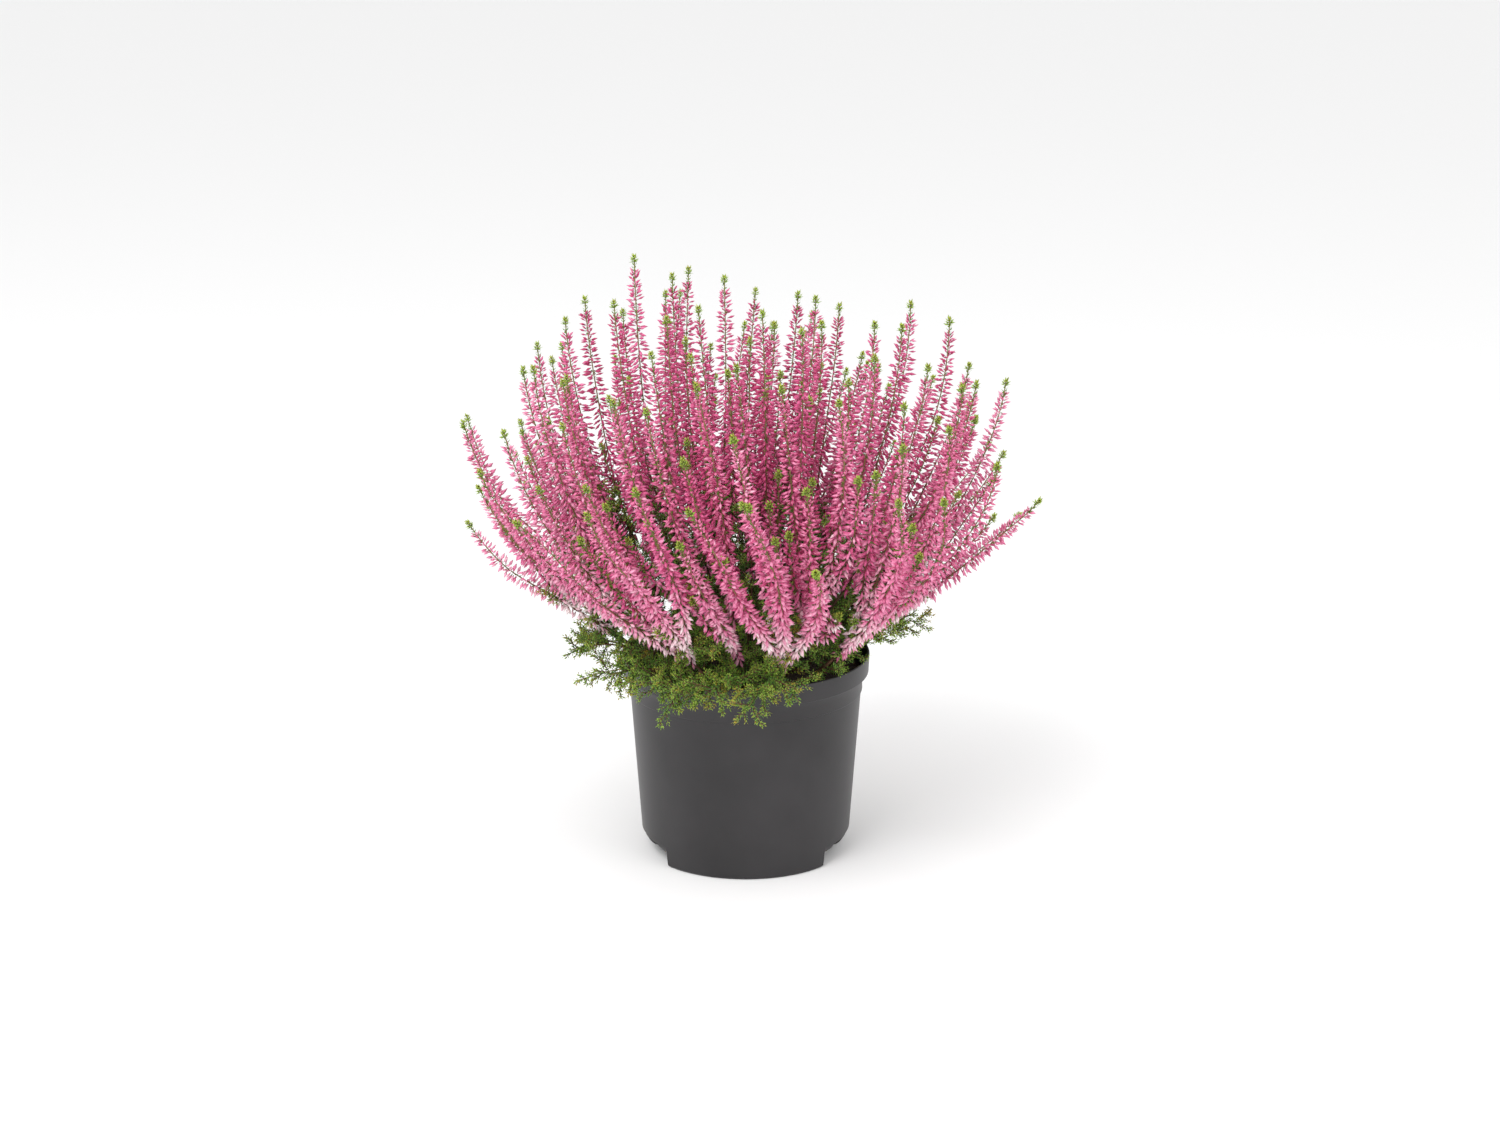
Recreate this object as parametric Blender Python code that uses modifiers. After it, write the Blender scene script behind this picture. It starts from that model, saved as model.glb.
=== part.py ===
"""Potted heather: a bud-flowering heather in a plain plastic nursery pot.

Lengths are written in millimetres and turned into metres by MM where a mesh is made.
+Z is up and the origin is the middle of the flat face that the pot stands on.
The plant fans out of the pot along growth lines that never cross, so that no stem,
leaf or flower of one spray runs into another spray.
"""

import math
import random
from dataclasses import dataclass

import bmesh
import bpy
from mathutils import Matrix, Vector

MM = 0.001
GAP = 0.3

# Pot
RIM_RADIUS = 60.0
POT_HEIGHT = 99.0
WALL = 1.2
BAND_HEIGHT = 9.0
NECK_HEIGHT = 9.0
BAND_TAPER = 0.4
LIP = 1.0
NECK_RADIUS = 56.0
BASE_RADIUS = 50.3
FOOT_CORNER = 1.5
BODY_CORNER = 5.5
EDGE = 0.6
FLOOR = 1.5
POT_STEPS = 40
SOIL_STEPS = 20
CORNER_STEPS = 3

# Two bays in the foot, left and right, with the drain slots in them
BAY_INNER = 31.0
BAY_HALF_WIDTH = 33.5
BAY_HEIGHT = 5.0
SLOT_WIDTH = 9.0
SLOT_FROM_MIDDLE = 22.0
SLOT_INNER = 39.0
SLOT_HEIGHT = 9.0
CUT_PAST = 10.0

# Soil
SOIL_TOP = 92.0
SOIL_CROWN = 2.0
HOLE_DEPTH = 9.0
HOLE_RADIUS = 2.4
HOLE_SIDES = 4
HOLE_CLEAR_ABOVE = 7.0

# Shape of the plant: where its growth lines start and end, and how they lean there
ROOT_REACH = 40.0
CROWN_REACH = 140.0
CROWN_RADIUS = 150.0
CROWN_BASE = 150.0
CROWN_RISE = 134.0
CROWN_POWER = 2.6
WIDEST_PLACE = 1.05
ROOT_LEAN = math.radians(50)
ROOT_LEAN_POWER = 1.3
TIP_LEAN = math.radians(12)
TIP_LEAN_POWER = 14
ROOT_PULL = 42.0
TIP_PULL_SHARE = 0.46
TWIST = math.radians(12)
GOLDEN_ANGLE = math.radians(137.508)

# Spikes
SPIKE_COUNT = 98
SPRAY_COUNT = 42
FILL_PATTERN = 400
FILL_SHARE = (0.84, 0.98)
LOW_PLACE = 0.8
LOW_SHARE = 0.35
PLACE_SPACING = 0.165
FORK_SHARE = (0.16, 0.26)
FORK_SPREAD = 0.75
FLOWER_LENGTH = (84.0, 100.0)
SWAY = 0.008
SWAY_WAVES = 9.0
LINE_STEPS = 40
STEM_RADIUS = 1.3
SPIKE_RADIUS = 1.15
NECK_LENGTH = 8.5
NECK_THICKNESS = 0.8
BUD_RADIUS = 2.0
BUD_LENGTH = 5.0
FLORET_STEM_RADIUS = 1.5
FLORET_STEM_TAPER = 0.4
FLORET_PITCH = 14.5
FLORET_REACH = 5.1
CLEAR_OF_RIM = 17.0
BRANCH_FOOT = 5.0
LEAF_PITCH = 15.0
LEAF_REACH = 3.1
BARE_PITCH = 21.0
RING_TURN = math.radians(40)

# Leafy shoots that rise past the rim and spread over it
SHOOT_COUNT = 11
SHOOT_ROOT = 51.5
SHOOT_PAST_RIM = (54.5, 104.0)
SHOOT_BEND = (67.0, 105.0)
SHOOT_REACH = (77.0, 93.0)
SHOOT_TIP_HEIGHT = (99.0, 110.0)
SHOOT_TURNS = (0.0, -0.15, 0.15)
SHOOT_FORK_STEP = 6
SHOOT_LEAVES_STEP = 16
SHOOT_RADIUS = 1.3
SIDE_SHOOT_RADIUS = 1.1
SHOOT_TIP_RADIUS = 0.9
SHOOT_LEAF_PITCH = 8.0
SHOOT_LEAF_REACH = 2.3
OUTER_ROOT = 0.72

# Tips of the spikes that give the plant its outline, chosen by hand: across, depth, height
TIPS_LEFT = [
    (-134, 0, 213), (-130, 55, 199), (-114, -72, 225), (-121, 45, 200), (-110, 20, 209),
    (-103, -88, 220), (-99, 0, 250), (-101, -32, 245), (-97, 50, 233), (-89, 25, 245),
    (-82, -80, 248), (-121, -55, 195), (-129, 62, 169), (-121, -45, 172), (-93, -108, 199),
    (-91, -95, 232), (-73, -119, 210), (-62, -125, 208), (-67, -100, 243),
]
TIPS_TOP = [
    (-74, 8, 271), (-59, -34, 276), (-53, 12, 290), (-41, -72, 260), (-39, -28, 268),
    (-36, 24, 279), (-28, 48, 278), (-22, -42, 276), (-24, -95, 262), (-18, 66, 237),
    (-19, -108, 254), (-10, 18, 279), (1, -12, 255), (-4, -72, 255), (6, 52, 267),
    (8, -44, 274), (14, 22, 256), (24, 44, 267), (24, -58, 269), (21, -108, 252),
    (45, 28, 264), (46, -74, 249), (38, -110, 246), (58, 58, 234), (58, -56, 256),
    (69, 42, 222), (74, -4, 260),
]
TIPS_RIGHT = [
    (95, 2, 262), (108, 28, 236), (97, -58, 244), (77, -98, 240), (86, -98, 232),
    (113, 44, 205), (119, 64, 190), (124, 28, 193), (103, -90, 216), (134, 0, 233),
    (137, -28, 186), (143, 4, 168),
]
TIPS_FRONT = [
    (-49, -109, 244), (-9, -124, 236), (-26, -134, 210), (-31, -124, 187), (10, -133, 221),
    (25, -131, 208), (60, -121, 220), (69, -112, 227), (83, -110, 214), (38, -126, 182),
    (47, -104, 142),
]


@dataclass
class Spike:
    """One flower spike: its place in the plant's unit disc and how far up its line it ends."""

    place: Vector
    share: float
    flowers: float
    phase: float


def arc(centre, radius, start, end, steps):
    """Points of an arc in the upright plane, angles in degrees."""
    points = []
    for step in range(steps + 1):
        angle = math.radians(start + (end - start) * step / steps)
        across = centre[0] + radius * math.cos(angle)
        points.append((across, centre[1] + radius * math.sin(angle)))
    return points


def bezier(controls, share):
    """Point of a cubic curve in the upright plane."""
    rest = 1 - share
    weights = (rest ** 3, 3 * rest * rest * share, 3 * rest * share * share, share ** 3)
    across = sum(weight * point[0] for weight, point in zip(weights, controls))
    height = sum(weight * point[1] for weight, point in zip(weights, controls))
    return across, height


def crown_height(radius):
    """Height of the rounded crown that the spikes grow up to."""
    share = min(radius / CROWN_RADIUS, 0.999)
    return CROWN_BASE + CROWN_RISE * (1 - share ** CROWN_POWER) ** (1 / CROWN_POWER)


def growth_controls(place):
    """Curve from the soil to the crown at this distance from the middle of the unit disc."""
    root_lean = ROOT_LEAN * min(place, 1.0) ** ROOT_LEAN_POWER
    tip_lean = TIP_LEAN * place ** TIP_LEAN_POWER
    root = (ROOT_REACH * place, SOIL_TOP)
    tip_across = CROWN_REACH * place
    tip = (tip_across, crown_height(tip_across))
    tip_pull = TIP_PULL_SHARE * (tip[1] - SOIL_TOP)
    return (
        root,
        (root[0] + ROOT_PULL * math.sin(root_lean), root[1] + ROOT_PULL * math.cos(root_lean)),
        (tip[0] - tip_pull * math.sin(tip_lean), tip[1] - tip_pull * math.cos(tip_lean)),
        tip,
    )


def twist(heading, share):
    """Turn of a growth line about the pot's axis, greatest at its root, in front and behind."""
    return TWIST * (1 - share) * (1 - 0.5 * math.cos(2 * heading))


def growth_point(place, share):
    """Point in space on the growth line of a place of the unit disc."""
    across, height = bezier(growth_controls(place.length), share)
    heading = math.atan2(place.y, place.x)
    heading += twist(heading, share)
    return Vector((across * math.cos(heading), across * math.sin(heading), height))


def share_at_height(distance, height):
    """How far up a growth line it reaches this height."""
    controls = growth_controls(distance)
    low, high = 0.0, 1.1
    for _ in range(24):
        middle = (low + high) / 2
        if bezier(controls, middle)[1] < height:
            low = middle
        else:
            high = middle
    return low


def place_of(tip):
    """Place of the growth line that passes through this tip."""
    across = math.hypot(tip[0], tip[1])
    low, high = 0.0, WIDEST_PLACE
    for _ in range(24):
        middle = (low + high) / 2
        share = share_at_height(middle, tip[2])
        if bezier(growth_controls(middle), share)[0] < across:
            low = middle
        else:
            high = middle
    share = share_at_height(low, tip[2])
    tip_heading = math.atan2(tip[1], tip[0])
    heading = tip_heading
    for _ in range(12):
        heading = tip_heading - twist(heading, share)
    return Vector((math.cos(heading), math.sin(heading))) * low


def ease_apart(spikes):
    """Move places that crowd each other apart until all keep their spacing."""
    for _ in range(80):
        for index, first in enumerate(spikes):
            for second in spikes[index + 1:]:
                offset = second.place - first.place
                short = PLACE_SPACING - offset.length
                if short <= 0:
                    continue
                step = offset.normalized() * (short / 2)
                first.place -= step
                second.place += step
        for spike in spikes:
            if spike.place.length > WIDEST_PLACE:
                spike.place *= WIDEST_PLACE / spike.place.length


def sunflower(count):
    """Places spread evenly over the unit disc."""
    places = []
    for number in range(count):
        distance = math.sqrt((number + 0.5) / count)
        angle = number * GOLDEN_ANGLE
        places.append(Vector((math.cos(angle), math.sin(angle))) * distance)
    return places


def plan_spikes(draw):
    """Hand-chosen tips first, then a sunflower pattern in the room that they leave."""
    tips = TIPS_LEFT + TIPS_TOP + TIPS_RIGHT + TIPS_FRONT
    spikes = [Spike(place_of(tip), 1.0, 0.0, 0.0) for tip in tips]
    candidates = sunflower(FILL_PATTERN)
    while len(spikes) < SPIKE_COUNT:
        roomiest = max(
            candidates,
            key=lambda place: min((place - spike.place).length for spike in spikes),
        )
        share = draw.uniform(*FILL_SHARE)
        outside = max(0.0, roomiest.length - LOW_PLACE) / (1 - LOW_PLACE)
        share -= LOW_SHARE * outside * draw.random()
        spikes.append(Spike(roomiest.copy(), share, 0.0, 0.0))
    ease_apart(spikes)
    for spike, tip in zip(spikes, tips):
        spike.share = share_at_height(spike.place.length, tip[2])
    for spike in spikes:
        spike.flowers = draw.uniform(*FLOWER_LENGTH) * (0.55 + 0.45 * spike.share)
        spike.phase = draw.uniform(0, math.tau)
    return spikes


def group_spikes(spikes):
    """Share the spikes out to sprays, each with the spikes nearest to its own root."""
    roots = sunflower(SPRAY_COUNT)
    for _ in range(30):
        groups = [[] for _ in roots]
        for spike in spikes:
            nearest = min(range(len(roots)), key=lambda n: (spike.place - roots[n]).length)
            groups[nearest].append(spike)
        for number, group in enumerate(groups):
            if group:
                middle = sum((spike.place for spike in group), Vector((0, 0)))
                roots[number] = middle / len(group)
    return [(root, group) for root, group in zip(roots, groups) if group]


def spike_line(spike, root, fork, start):
    """Points up the middle of a spike's stem, which leaves its spray's root line at the fork."""
    points = []
    for step in range(LINE_STEPS + 1):
        share = start + (spike.share - start) * step / LINE_STEPS
        away = (share - fork) / (FORK_SPREAD * (spike.share - fork))
        away = min(max(away, 0.0), 1.0)
        place = root.lerp(spike.place, 1 - (1 - away) ** 2)
        sway = SWAY * away * math.sin(SWAY_WAVES * share + spike.phase)
        place = place + Vector((math.cos(spike.phase), math.sin(spike.phase))) * sway
        points.append(growth_point(place, share))
    return points


def buried(points):
    """The same line with its straight end in the soil hole put before it."""
    down = (points[0] - points[1]).normalized()
    return [points[0] + down * (HOLE_DEPTH - GAP)] + points


def line_length(points):
    return sum((b - a).length for a, b in zip(points, points[1:]))


def distance_above(points, share):
    """Length of a buried line from this share of its way above the soil to its tip."""
    first = 1 + round(share * (len(points) - 2))
    return line_length(points[first:])


def frame_at(points, distance):
    """Point and frame on a line at a distance from its far end; the last axis runs up the line."""
    for lower, upper in zip(points[-2::-1], points[:0:-1]):
        piece = (upper - lower).length
        if distance <= piece:
            break
        distance -= piece
    along = (upper - lower).normalized()
    side = along.cross(Vector((0.31, 0.95, 0.0)))
    side.normalize()
    return upper - along * distance, side, along.cross(side), along


def stem_mesh(points, rings):
    """Three-sided stem through rings of (distance from tip, radius, reach, lift).

    Where a ring has a reach, each side of the stem from it to the next ring is raised to a
    point, a leaf or a floret. The point stands at the reach, and the lift is its height
    between the two rings: 0 at the lower one, 1 at the upper one.
    """
    mesh = bmesh.new()
    loops = []
    turns = []
    turn = 0.0
    for distance, radius, reach, lift in rings:
        centre, side, front, _ = frame_at(points, distance)
        loop = []
        for corner in range(3):
            angle = turn + corner * math.tau / 3
            offset = side * math.cos(angle) + front * math.sin(angle)
            loop.append(mesh.verts.new((centre + offset * radius) * MM))
        loops.append(loop)
        turns.append(turn)
        turn += RING_TURN if reach else 0.0
    mesh.faces.new(loops[0])
    for number in range(len(rings) - 1):
        distance, radius, reach, lift = rings[number]
        lower, upper = loops[number], loops[number + 1]
        pitch = distance - rings[number + 1][0]
        for corner in range(3):
            following = (corner + 1) % 3
            square = [lower[corner], lower[following], upper[following], upper[corner]]
            if not reach:
                mesh.faces.new((square[0], square[1], square[2]))
                mesh.faces.new((square[2], square[3], square[0]))
                continue
            angle = turns[number] + RING_TURN / 2 + (corner + 0.5) * math.tau / 3
            centre, side, front, _ = frame_at(points, distance - pitch * lift)
            offset = side * math.cos(angle) + front * math.sin(angle)
            point = mesh.verts.new((centre + offset * reach) * MM)
            for first, second in zip(square, square[1:] + square[:1]):
                mesh.faces.new((first, second, point))
    top = mesh.verts.new(points[-1] * MM)
    for corner in range(3):
        mesh.faces.new((loops[-1][corner], loops[-1][(corner + 1) % 3], top))
    bmesh.ops.recalc_face_normals(mesh, faces=mesh.faces)
    return mesh


def spike_rings(length, flowers, above_forks, foot, radius):
    """Rings of a whole spike: stem, leafy stretch, florets, green neck and bud.

    A spike that stands in the soil itself has leaves up to the forks of its spray. The stem
    is bare up to the end of its foot, where it is clear of the pot's rim.
    """
    rings = []
    top = NECK_LENGTH + BUD_LENGTH
    flowers = min(flowers, length - foot - top)
    count = max(3, round(flowers / FLORET_PITCH))
    pitch = flowers / count
    first_floret = top + flowers
    bare = length
    if above_forks is not None:
        rings.append((length, radius, None, 0))
        rings.append((length - HOLE_DEPTH - 2, radius, None, 0))
        bare -= foot
    while bare > first_floret + 1.5 * LEAF_PITCH:
        leafy = above_forks is not None and bare > above_forks
        rings.append((bare, radius, LEAF_REACH if leafy else None, 0.75))
        bare -= LEAF_PITCH if leafy else BARE_PITCH
    if bare > first_floret + 4:
        rings.append((bare, radius, None, 0))
    for number in range(count):
        up = number / (count - 1)
        swell = math.sin(math.pi * (0.22 + 0.6 * (1 - up)))
        reach = FLORET_REACH * (0.62 + 0.38 * swell)
        lift = -0.12 + 0.5 * up
        thickness = FLORET_STEM_RADIUS - FLORET_STEM_TAPER * up
        rings.append((first_floret - number * pitch, thickness, reach, lift))
    rings.append((top, NECK_THICKNESS, None, 0))
    rings.append((BUD_LENGTH * 0.7, BUD_RADIUS, None, 0))
    return rings


def on_stem(points, rings, distance):
    """Middle of a finished stem, on the straight between two rings."""
    for lower, upper in zip(rings, rings[1:]):
        if upper[0] <= distance <= lower[0]:
            break
    share = (lower[0] - distance) / (lower[0] - upper[0])
    return frame_at(points, lower[0])[0].lerp(frame_at(points, upper[0])[0], share)


def add_object(name, mesh, material, collection):
    """Object from a bmesh, which is freed."""
    data = bpy.data.meshes.new(name)
    mesh.to_mesh(data)
    mesh.free()
    made = bpy.data.objects.new(name, data)
    made.data.materials.append(material)
    collection.objects.link(made)
    return made


def apply_modifiers(target):
    """Replace an object's mesh by its evaluated one."""
    graph = bpy.context.evaluated_depsgraph_get()
    data = bpy.data.meshes.new_from_object(target.evaluated_get(graph))
    target.modifiers.clear()
    target.data = data


def keep_main_body(target):
    """Drop what a union leaves loose, or sealed inside, so that one closed skin stays."""
    mesh = bmesh.new()
    mesh.from_mesh(target.data)
    bodies = []
    left = set(mesh.verts)
    while left:
        reached = [left.pop()]
        body = set(reached)
        while reached:
            for edge in reached.pop().link_edges:
                for vertex in edge.verts:
                    if vertex in left:
                        left.remove(vertex)
                        body.add(vertex)
                        reached.append(vertex)
        bodies.append(body)
    bodies.sort(key=len)
    loose = [vertex for body in bodies[:-1] for vertex in body]
    bmesh.ops.delete(mesh, geom=loose, context="VERTS")
    mesh.to_mesh(target.data)
    mesh.free()


def join_branches(name, meshes, material, collection):
    """One solid from a stem and its branches."""
    stem = add_object(name, meshes[0], material, collection)
    if len(meshes) == 1:
        return stem
    branches = bpy.data.collections.new(name + "_branches")
    bpy.context.scene.collection.children.link(branches)
    for number, mesh in enumerate(meshes[1:]):
        add_object(f"{name}_branch_{number}", mesh, material, branches)
    union = stem.modifiers.new("branches", "BOOLEAN")
    union.operation = "UNION"
    union.operand_type = "COLLECTION"
    union.collection = branches
    union.solver = "MANIFOLD"
    apply_modifiers(stem)
    keep_main_body(stem)
    for branch in list(branches.objects):
        bpy.data.objects.remove(branch)
    bpy.data.collections.remove(branches)
    return stem


def make_spray(name, root, group, draw, material, collection):
    """A stem from the soil that forks into its spikes; gives where and how it leaves the soil."""
    group = sorted(group, key=lambda spike: (spike.place - root).length)
    forks = [draw.uniform(*FORK_SHARE) for _ in group]
    main = group[0]
    main_points = buried(spike_line(main, root, max(forks), 0.0))
    above_forks = distance_above(main_points, max(forks) / main.share)
    length = line_length(main_points)
    foot = HOLE_DEPTH + 2 + CLEAR_OF_RIM * (0.2 + root.length)
    main_rings = spike_rings(length, main.flowers, above_forks, foot, STEM_RADIUS)
    meshes = [stem_mesh(main_points, main_rings)]
    for spike, fork in list(zip(group, forks))[1:]:
        points = spike_line(spike, root, fork, fork)
        points[0] = on_stem(main_points, main_rings, distance_above(main_points, fork / main.share))
        rings = spike_rings(line_length(points), spike.flowers, None, BRANCH_FOOT, SPIKE_RADIUS)
        meshes.append(stem_mesh(points, rings))
    join_branches(name, meshes, material, collection)
    return main_points[1], (main_points[1] - main_points[0]).normalized()


def shoot_line(angle, turn, reach, height):
    """Line of a leafy shoot: up from the soil, over the rim and out or down."""
    controls = ((SHOOT_ROOT, SOIL_TOP), SHOOT_PAST_RIM, SHOOT_BEND, (reach, height))
    points = []
    for step in range(LINE_STEPS + 1):
        share = step / LINE_STEPS
        across, up = bezier(controls, share)
        heading = angle + turn * share * share
        points.append(Vector((across * math.cos(heading), across * math.sin(heading), up)))
    return points


def shoot_rings(length, start, radius):
    """Rings of a leafy shoot that is bare up to start."""
    rings = [(length, radius, None, 0)]
    if length > start + HOLE_DEPTH + 4:
        rings.append((length - HOLE_DEPTH - 2, radius, None, 0))
    distance = start
    while distance > 1.5 * SHOOT_LEAF_PITCH:
        rings.append((distance, SHOOT_TIP_RADIUS, SHOOT_LEAF_REACH, 0.85))
        distance -= SHOOT_LEAF_PITCH
    rings.append((distance, SHOOT_TIP_RADIUS, None, 0))
    return rings


def make_shoot(name, angle, draw, material, collection):
    """A leafy stem with two side shoots; gives where and how it leaves the soil."""
    meshes = []
    for turn in SHOOT_TURNS:
        line = shoot_line(angle, turn, draw.uniform(*SHOOT_REACH), draw.uniform(*SHOOT_TIP_HEIGHT))
        start = line_length(line[SHOOT_LEAVES_STEP:])
        if turn:
            points = line[SHOOT_FORK_STEP:]
            radius = SIDE_SHOOT_RADIUS
        else:
            points = buried(line)
            radius = SHOOT_RADIUS
            stem = (points[1], (points[1] - points[0]).normalized())
        meshes.append(stem_mesh(points, shoot_rings(line_length(points), start, radius)))
    join_branches(name, meshes, material, collection)
    return stem


def gaps_between(sprays):
    """Middles of the widest gaps round the rim between the outer sprays."""
    outer = [root for root, group in sprays if root.length > OUTER_ROOT]
    headings = [math.atan2(root.y, root.x) for root in outer]
    angles = sorted((heading + twist(heading, 0)) % math.tau for heading in headings)
    gaps = []
    for number, angle in enumerate(angles):
        following = angles[(number + 1) % len(angles)]
        width = (following - angle) % math.tau
        gaps.append((width, angle + width / 2))
    gaps.sort(reverse=True)
    return sorted(angle for width, angle in gaps[:SHOOT_COUNT])


def pot_profile():
    """Half outline of the pot, from the inner floor up over the rim and down the outside."""
    band_bottom = POT_HEIGHT - BAND_HEIGHT
    neck_bottom = band_bottom - NECK_HEIGHT
    band_radius = RIM_RADIUS - BAND_TAPER
    foot = BASE_RADIUS - FOOT_CORNER
    inside = [
        (0, FLOOR),
        (foot - WALL, FLOOR),
        (BASE_RADIUS - WALL, FOOT_CORNER + FLOOR),
        (NECK_RADIUS - WALL, neck_bottom),
        (band_radius - LIP - WALL, band_bottom),
        (RIM_RADIUS - WALL, band_bottom + LIP + WALL),
        (RIM_RADIUS - WALL, POT_HEIGHT - EDGE / 2),
    ]
    outside = [
        (RIM_RADIUS - EDGE, POT_HEIGHT),
        (RIM_RADIUS, POT_HEIGHT - EDGE),
        (band_radius, band_bottom),
        (band_radius - LIP, band_bottom - EDGE),
        (NECK_RADIUS + EDGE, neck_bottom + 0.5 * NECK_HEIGHT),
        (NECK_RADIUS + EDGE, neck_bottom),
        (NECK_RADIUS, neck_bottom - EDGE),
    ]
    corner = arc((foot, FOOT_CORNER), FOOT_CORNER, 0, -90, CORNER_STEPS)
    return inside + outside + corner + [(0, 0)]


def soil_profile():
    """Half outline of the soil, which fills the pot to just under its rim."""
    inside = pot_profile()
    side = [(across - GAP, height) for across, height in inside[2:5]]
    side[-1] = (side[-1][0] - 1.0, SOIL_TOP - 2.5)
    return [
        (0, SOIL_TOP + SOIL_CROWN),
        (ROOT_REACH, SOIL_TOP + 0.4),
        (side[-1][0] - 1.5, SOIL_TOP - 0.8),
        side[-1],
        side[1],
        side[0],
        (inside[1][0] - GAP, FLOOR + GAP),
        (0, FLOOR + GAP),
    ]


def turned(name, profile, steps, material, collection):
    """Solid of revolution from a half outline."""
    data = bpy.data.meshes.new(name)
    corners = [(across * MM, 0, height * MM) for across, height in profile]
    edges = [(number, number + 1) for number in range(len(corners) - 1)]
    data.from_pydata(corners, edges, [])
    made = bpy.data.objects.new(name, data)
    if material:
        made.data.materials.append(material)
    collection.objects.link(made)
    screw = made.modifiers.new("turn", "SCREW")
    screw.steps = steps
    screw.render_steps = steps
    screw.use_merge_vertices = True
    screw.merge_threshold = 0.00001
    screw.use_normal_calculate = True
    apply_modifiers(made)
    return made


def box(name, low, high, collection):
    """Block between two corners, used to cut or to add."""
    mesh = bmesh.new()
    bmesh.ops.create_cube(mesh, size=1.0)
    size = [(b - a) * MM for a, b in zip(low, high)]
    middle = [(a + b) / 2 * MM for a, b in zip(low, high)]
    mesh.transform(Matrix.Translation(middle) @ Matrix.Diagonal((*size, 1.0)))
    data = bpy.data.meshes.new(name)
    mesh.to_mesh(data)
    mesh.free()
    made = bpy.data.objects.new(name, data)
    collection.objects.link(made)
    made.hide_render = True
    made.display_type = "WIRE"
    return made


def boolean(target, tool, operation):
    """Join a tool to an object or cut it away."""
    step = target.modifiers.new(tool.name, "BOOLEAN")
    step.operation = operation
    step.object = tool
    step.solver = "EXACT"


def body_core(name, height, corner, cutters):
    """The pot's round body from this height up, with a rounded lower corner."""
    inner = BASE_RADIUS - BODY_CORNER
    middle = (inner, BAY_HEIGHT + BODY_CORNER)
    round_edge = arc(middle, corner, 0, -90, CORNER_STEPS)
    top = BAY_HEIGHT + BODY_CORNER + CUT_PAST
    profile = [(0, top), (round_edge[0][0], top)] + round_edge + [(0, height)]
    core = turned(name, profile, POT_STEPS, None, cutters)
    core.hide_render = True
    core.display_type = "WIRE"
    return core


def foot_bay(name, side, grow, cutters):
    """Room of a foot bay under the rounded body, grown by so much on its inner faces."""
    near = BAY_INNER - grow
    far = BASE_RADIUS + CUT_PAST
    half = BAY_HALF_WIDTH + grow
    across = (near, far) if side > 0 else (-far, -near)
    top = BAY_HEIGHT + BODY_CORNER + grow
    bay = box(name, (across[0], -half, -CUT_PAST), (across[1], half, top), cutters)
    core = body_core(name + "_core", BAY_HEIGHT + grow, BODY_CORNER - grow, cutters)
    boolean(bay, core, "DIFFERENCE")
    return bay


def slot_box(name, side, along, cutters):
    """Cutter of one drain slot in the roof of a foot bay."""
    far = BASE_RADIUS + CUT_PAST
    across = (SLOT_INNER, far) if side > 0 else (-far, -SLOT_INNER)
    half = SLOT_WIDTH / 2
    low = (across[0], along - half, BAY_HEIGHT - 1)
    return box(name, low, (across[1], along + half, SLOT_HEIGHT), cutters)


def make_pot(material, collection, cutters):
    """The turned pot with its two foot bays and their drain slots."""
    pot = turned("pot", pot_profile(), POT_STEPS, material, collection)
    top = BAY_HEIGHT + BODY_CORNER + 2 * WALL
    foot = [
        (0, top),
        (BASE_RADIUS - WALL / 2, top),
        (BASE_RADIUS - WALL / 2, FOOT_CORNER),
        (BASE_RADIUS - FOOT_CORNER, WALL / 2),
        (0, WALL / 2),
    ]
    for side in (-1, 1):
        lining = foot_bay(f"bay_lining_{side}", side, WALL, cutters)
        foot_core = turned(f"foot_core_{side}", foot, POT_STEPS, None, cutters)
        foot_core.hide_render = True
        foot_core.display_type = "WIRE"
        boolean(lining, foot_core, "INTERSECT")
        boolean(pot, lining, "UNION")
        boolean(pot, foot_bay(f"bay_{side}", side, 0, cutters), "DIFFERENCE")
        for along in (-SLOT_FROM_MIDDLE, SLOT_FROM_MIDDLE):
            boolean(pot, slot_box(f"slot_{side}_{along:.0f}", side, along, cutters), "DIFFERENCE")
    return pot


def hole_cutter(mesh, mouth, along):
    """Add the prism of a stem's hole to a bmesh."""
    depth = (HOLE_DEPTH + HOLE_CLEAR_ABOVE) * MM
    turn = Vector((0, 0, 1)).rotation_difference(along).to_matrix().to_4x4()
    middle = (mouth - along * HOLE_DEPTH) * MM + along * (depth / 2)
    bmesh.ops.create_cone(
        mesh,
        cap_ends=True,
        segments=HOLE_SIDES,
        radius1=HOLE_RADIUS * MM,
        radius2=HOLE_RADIUS * MM,
        depth=depth,
        matrix=Matrix.Translation(middle) @ turn,
    )


def make_soil(stems, material, collection, cutters):
    """The soil with a plain hole for each stem."""
    soil = turned("soil", soil_profile(), SOIL_STEPS, material, collection)
    for side in (-1, 1):
        bay = foot_bay(f"soil_bay_{side}", side, WALL + GAP, cutters)
        boolean(soil, bay, "DIFFERENCE")
    mesh = bmesh.new()
    for mouth, along in stems:
        hole_cutter(mesh, mouth, along)
    holes = add_object("stem_holes", mesh, material, cutters)
    holes.hide_render = True
    holes.display_type = "WIRE"
    boolean(soil, holes, "DIFFERENCE")
    return soil


def make_material(name, colour, roughness):
    """Plain principled material."""
    made = bpy.data.materials.new(name)
    made.use_nodes = True
    shader = made.node_tree.nodes["Principled BSDF"]
    shader.inputs["Base Color"].default_value = (*colour, 1.0)
    shader.inputs["Roughness"].default_value = roughness
    shader.inputs["Metallic"].default_value = 0.0
    made.diffuse_color = (*colour, 1.0)
    return made


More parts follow.
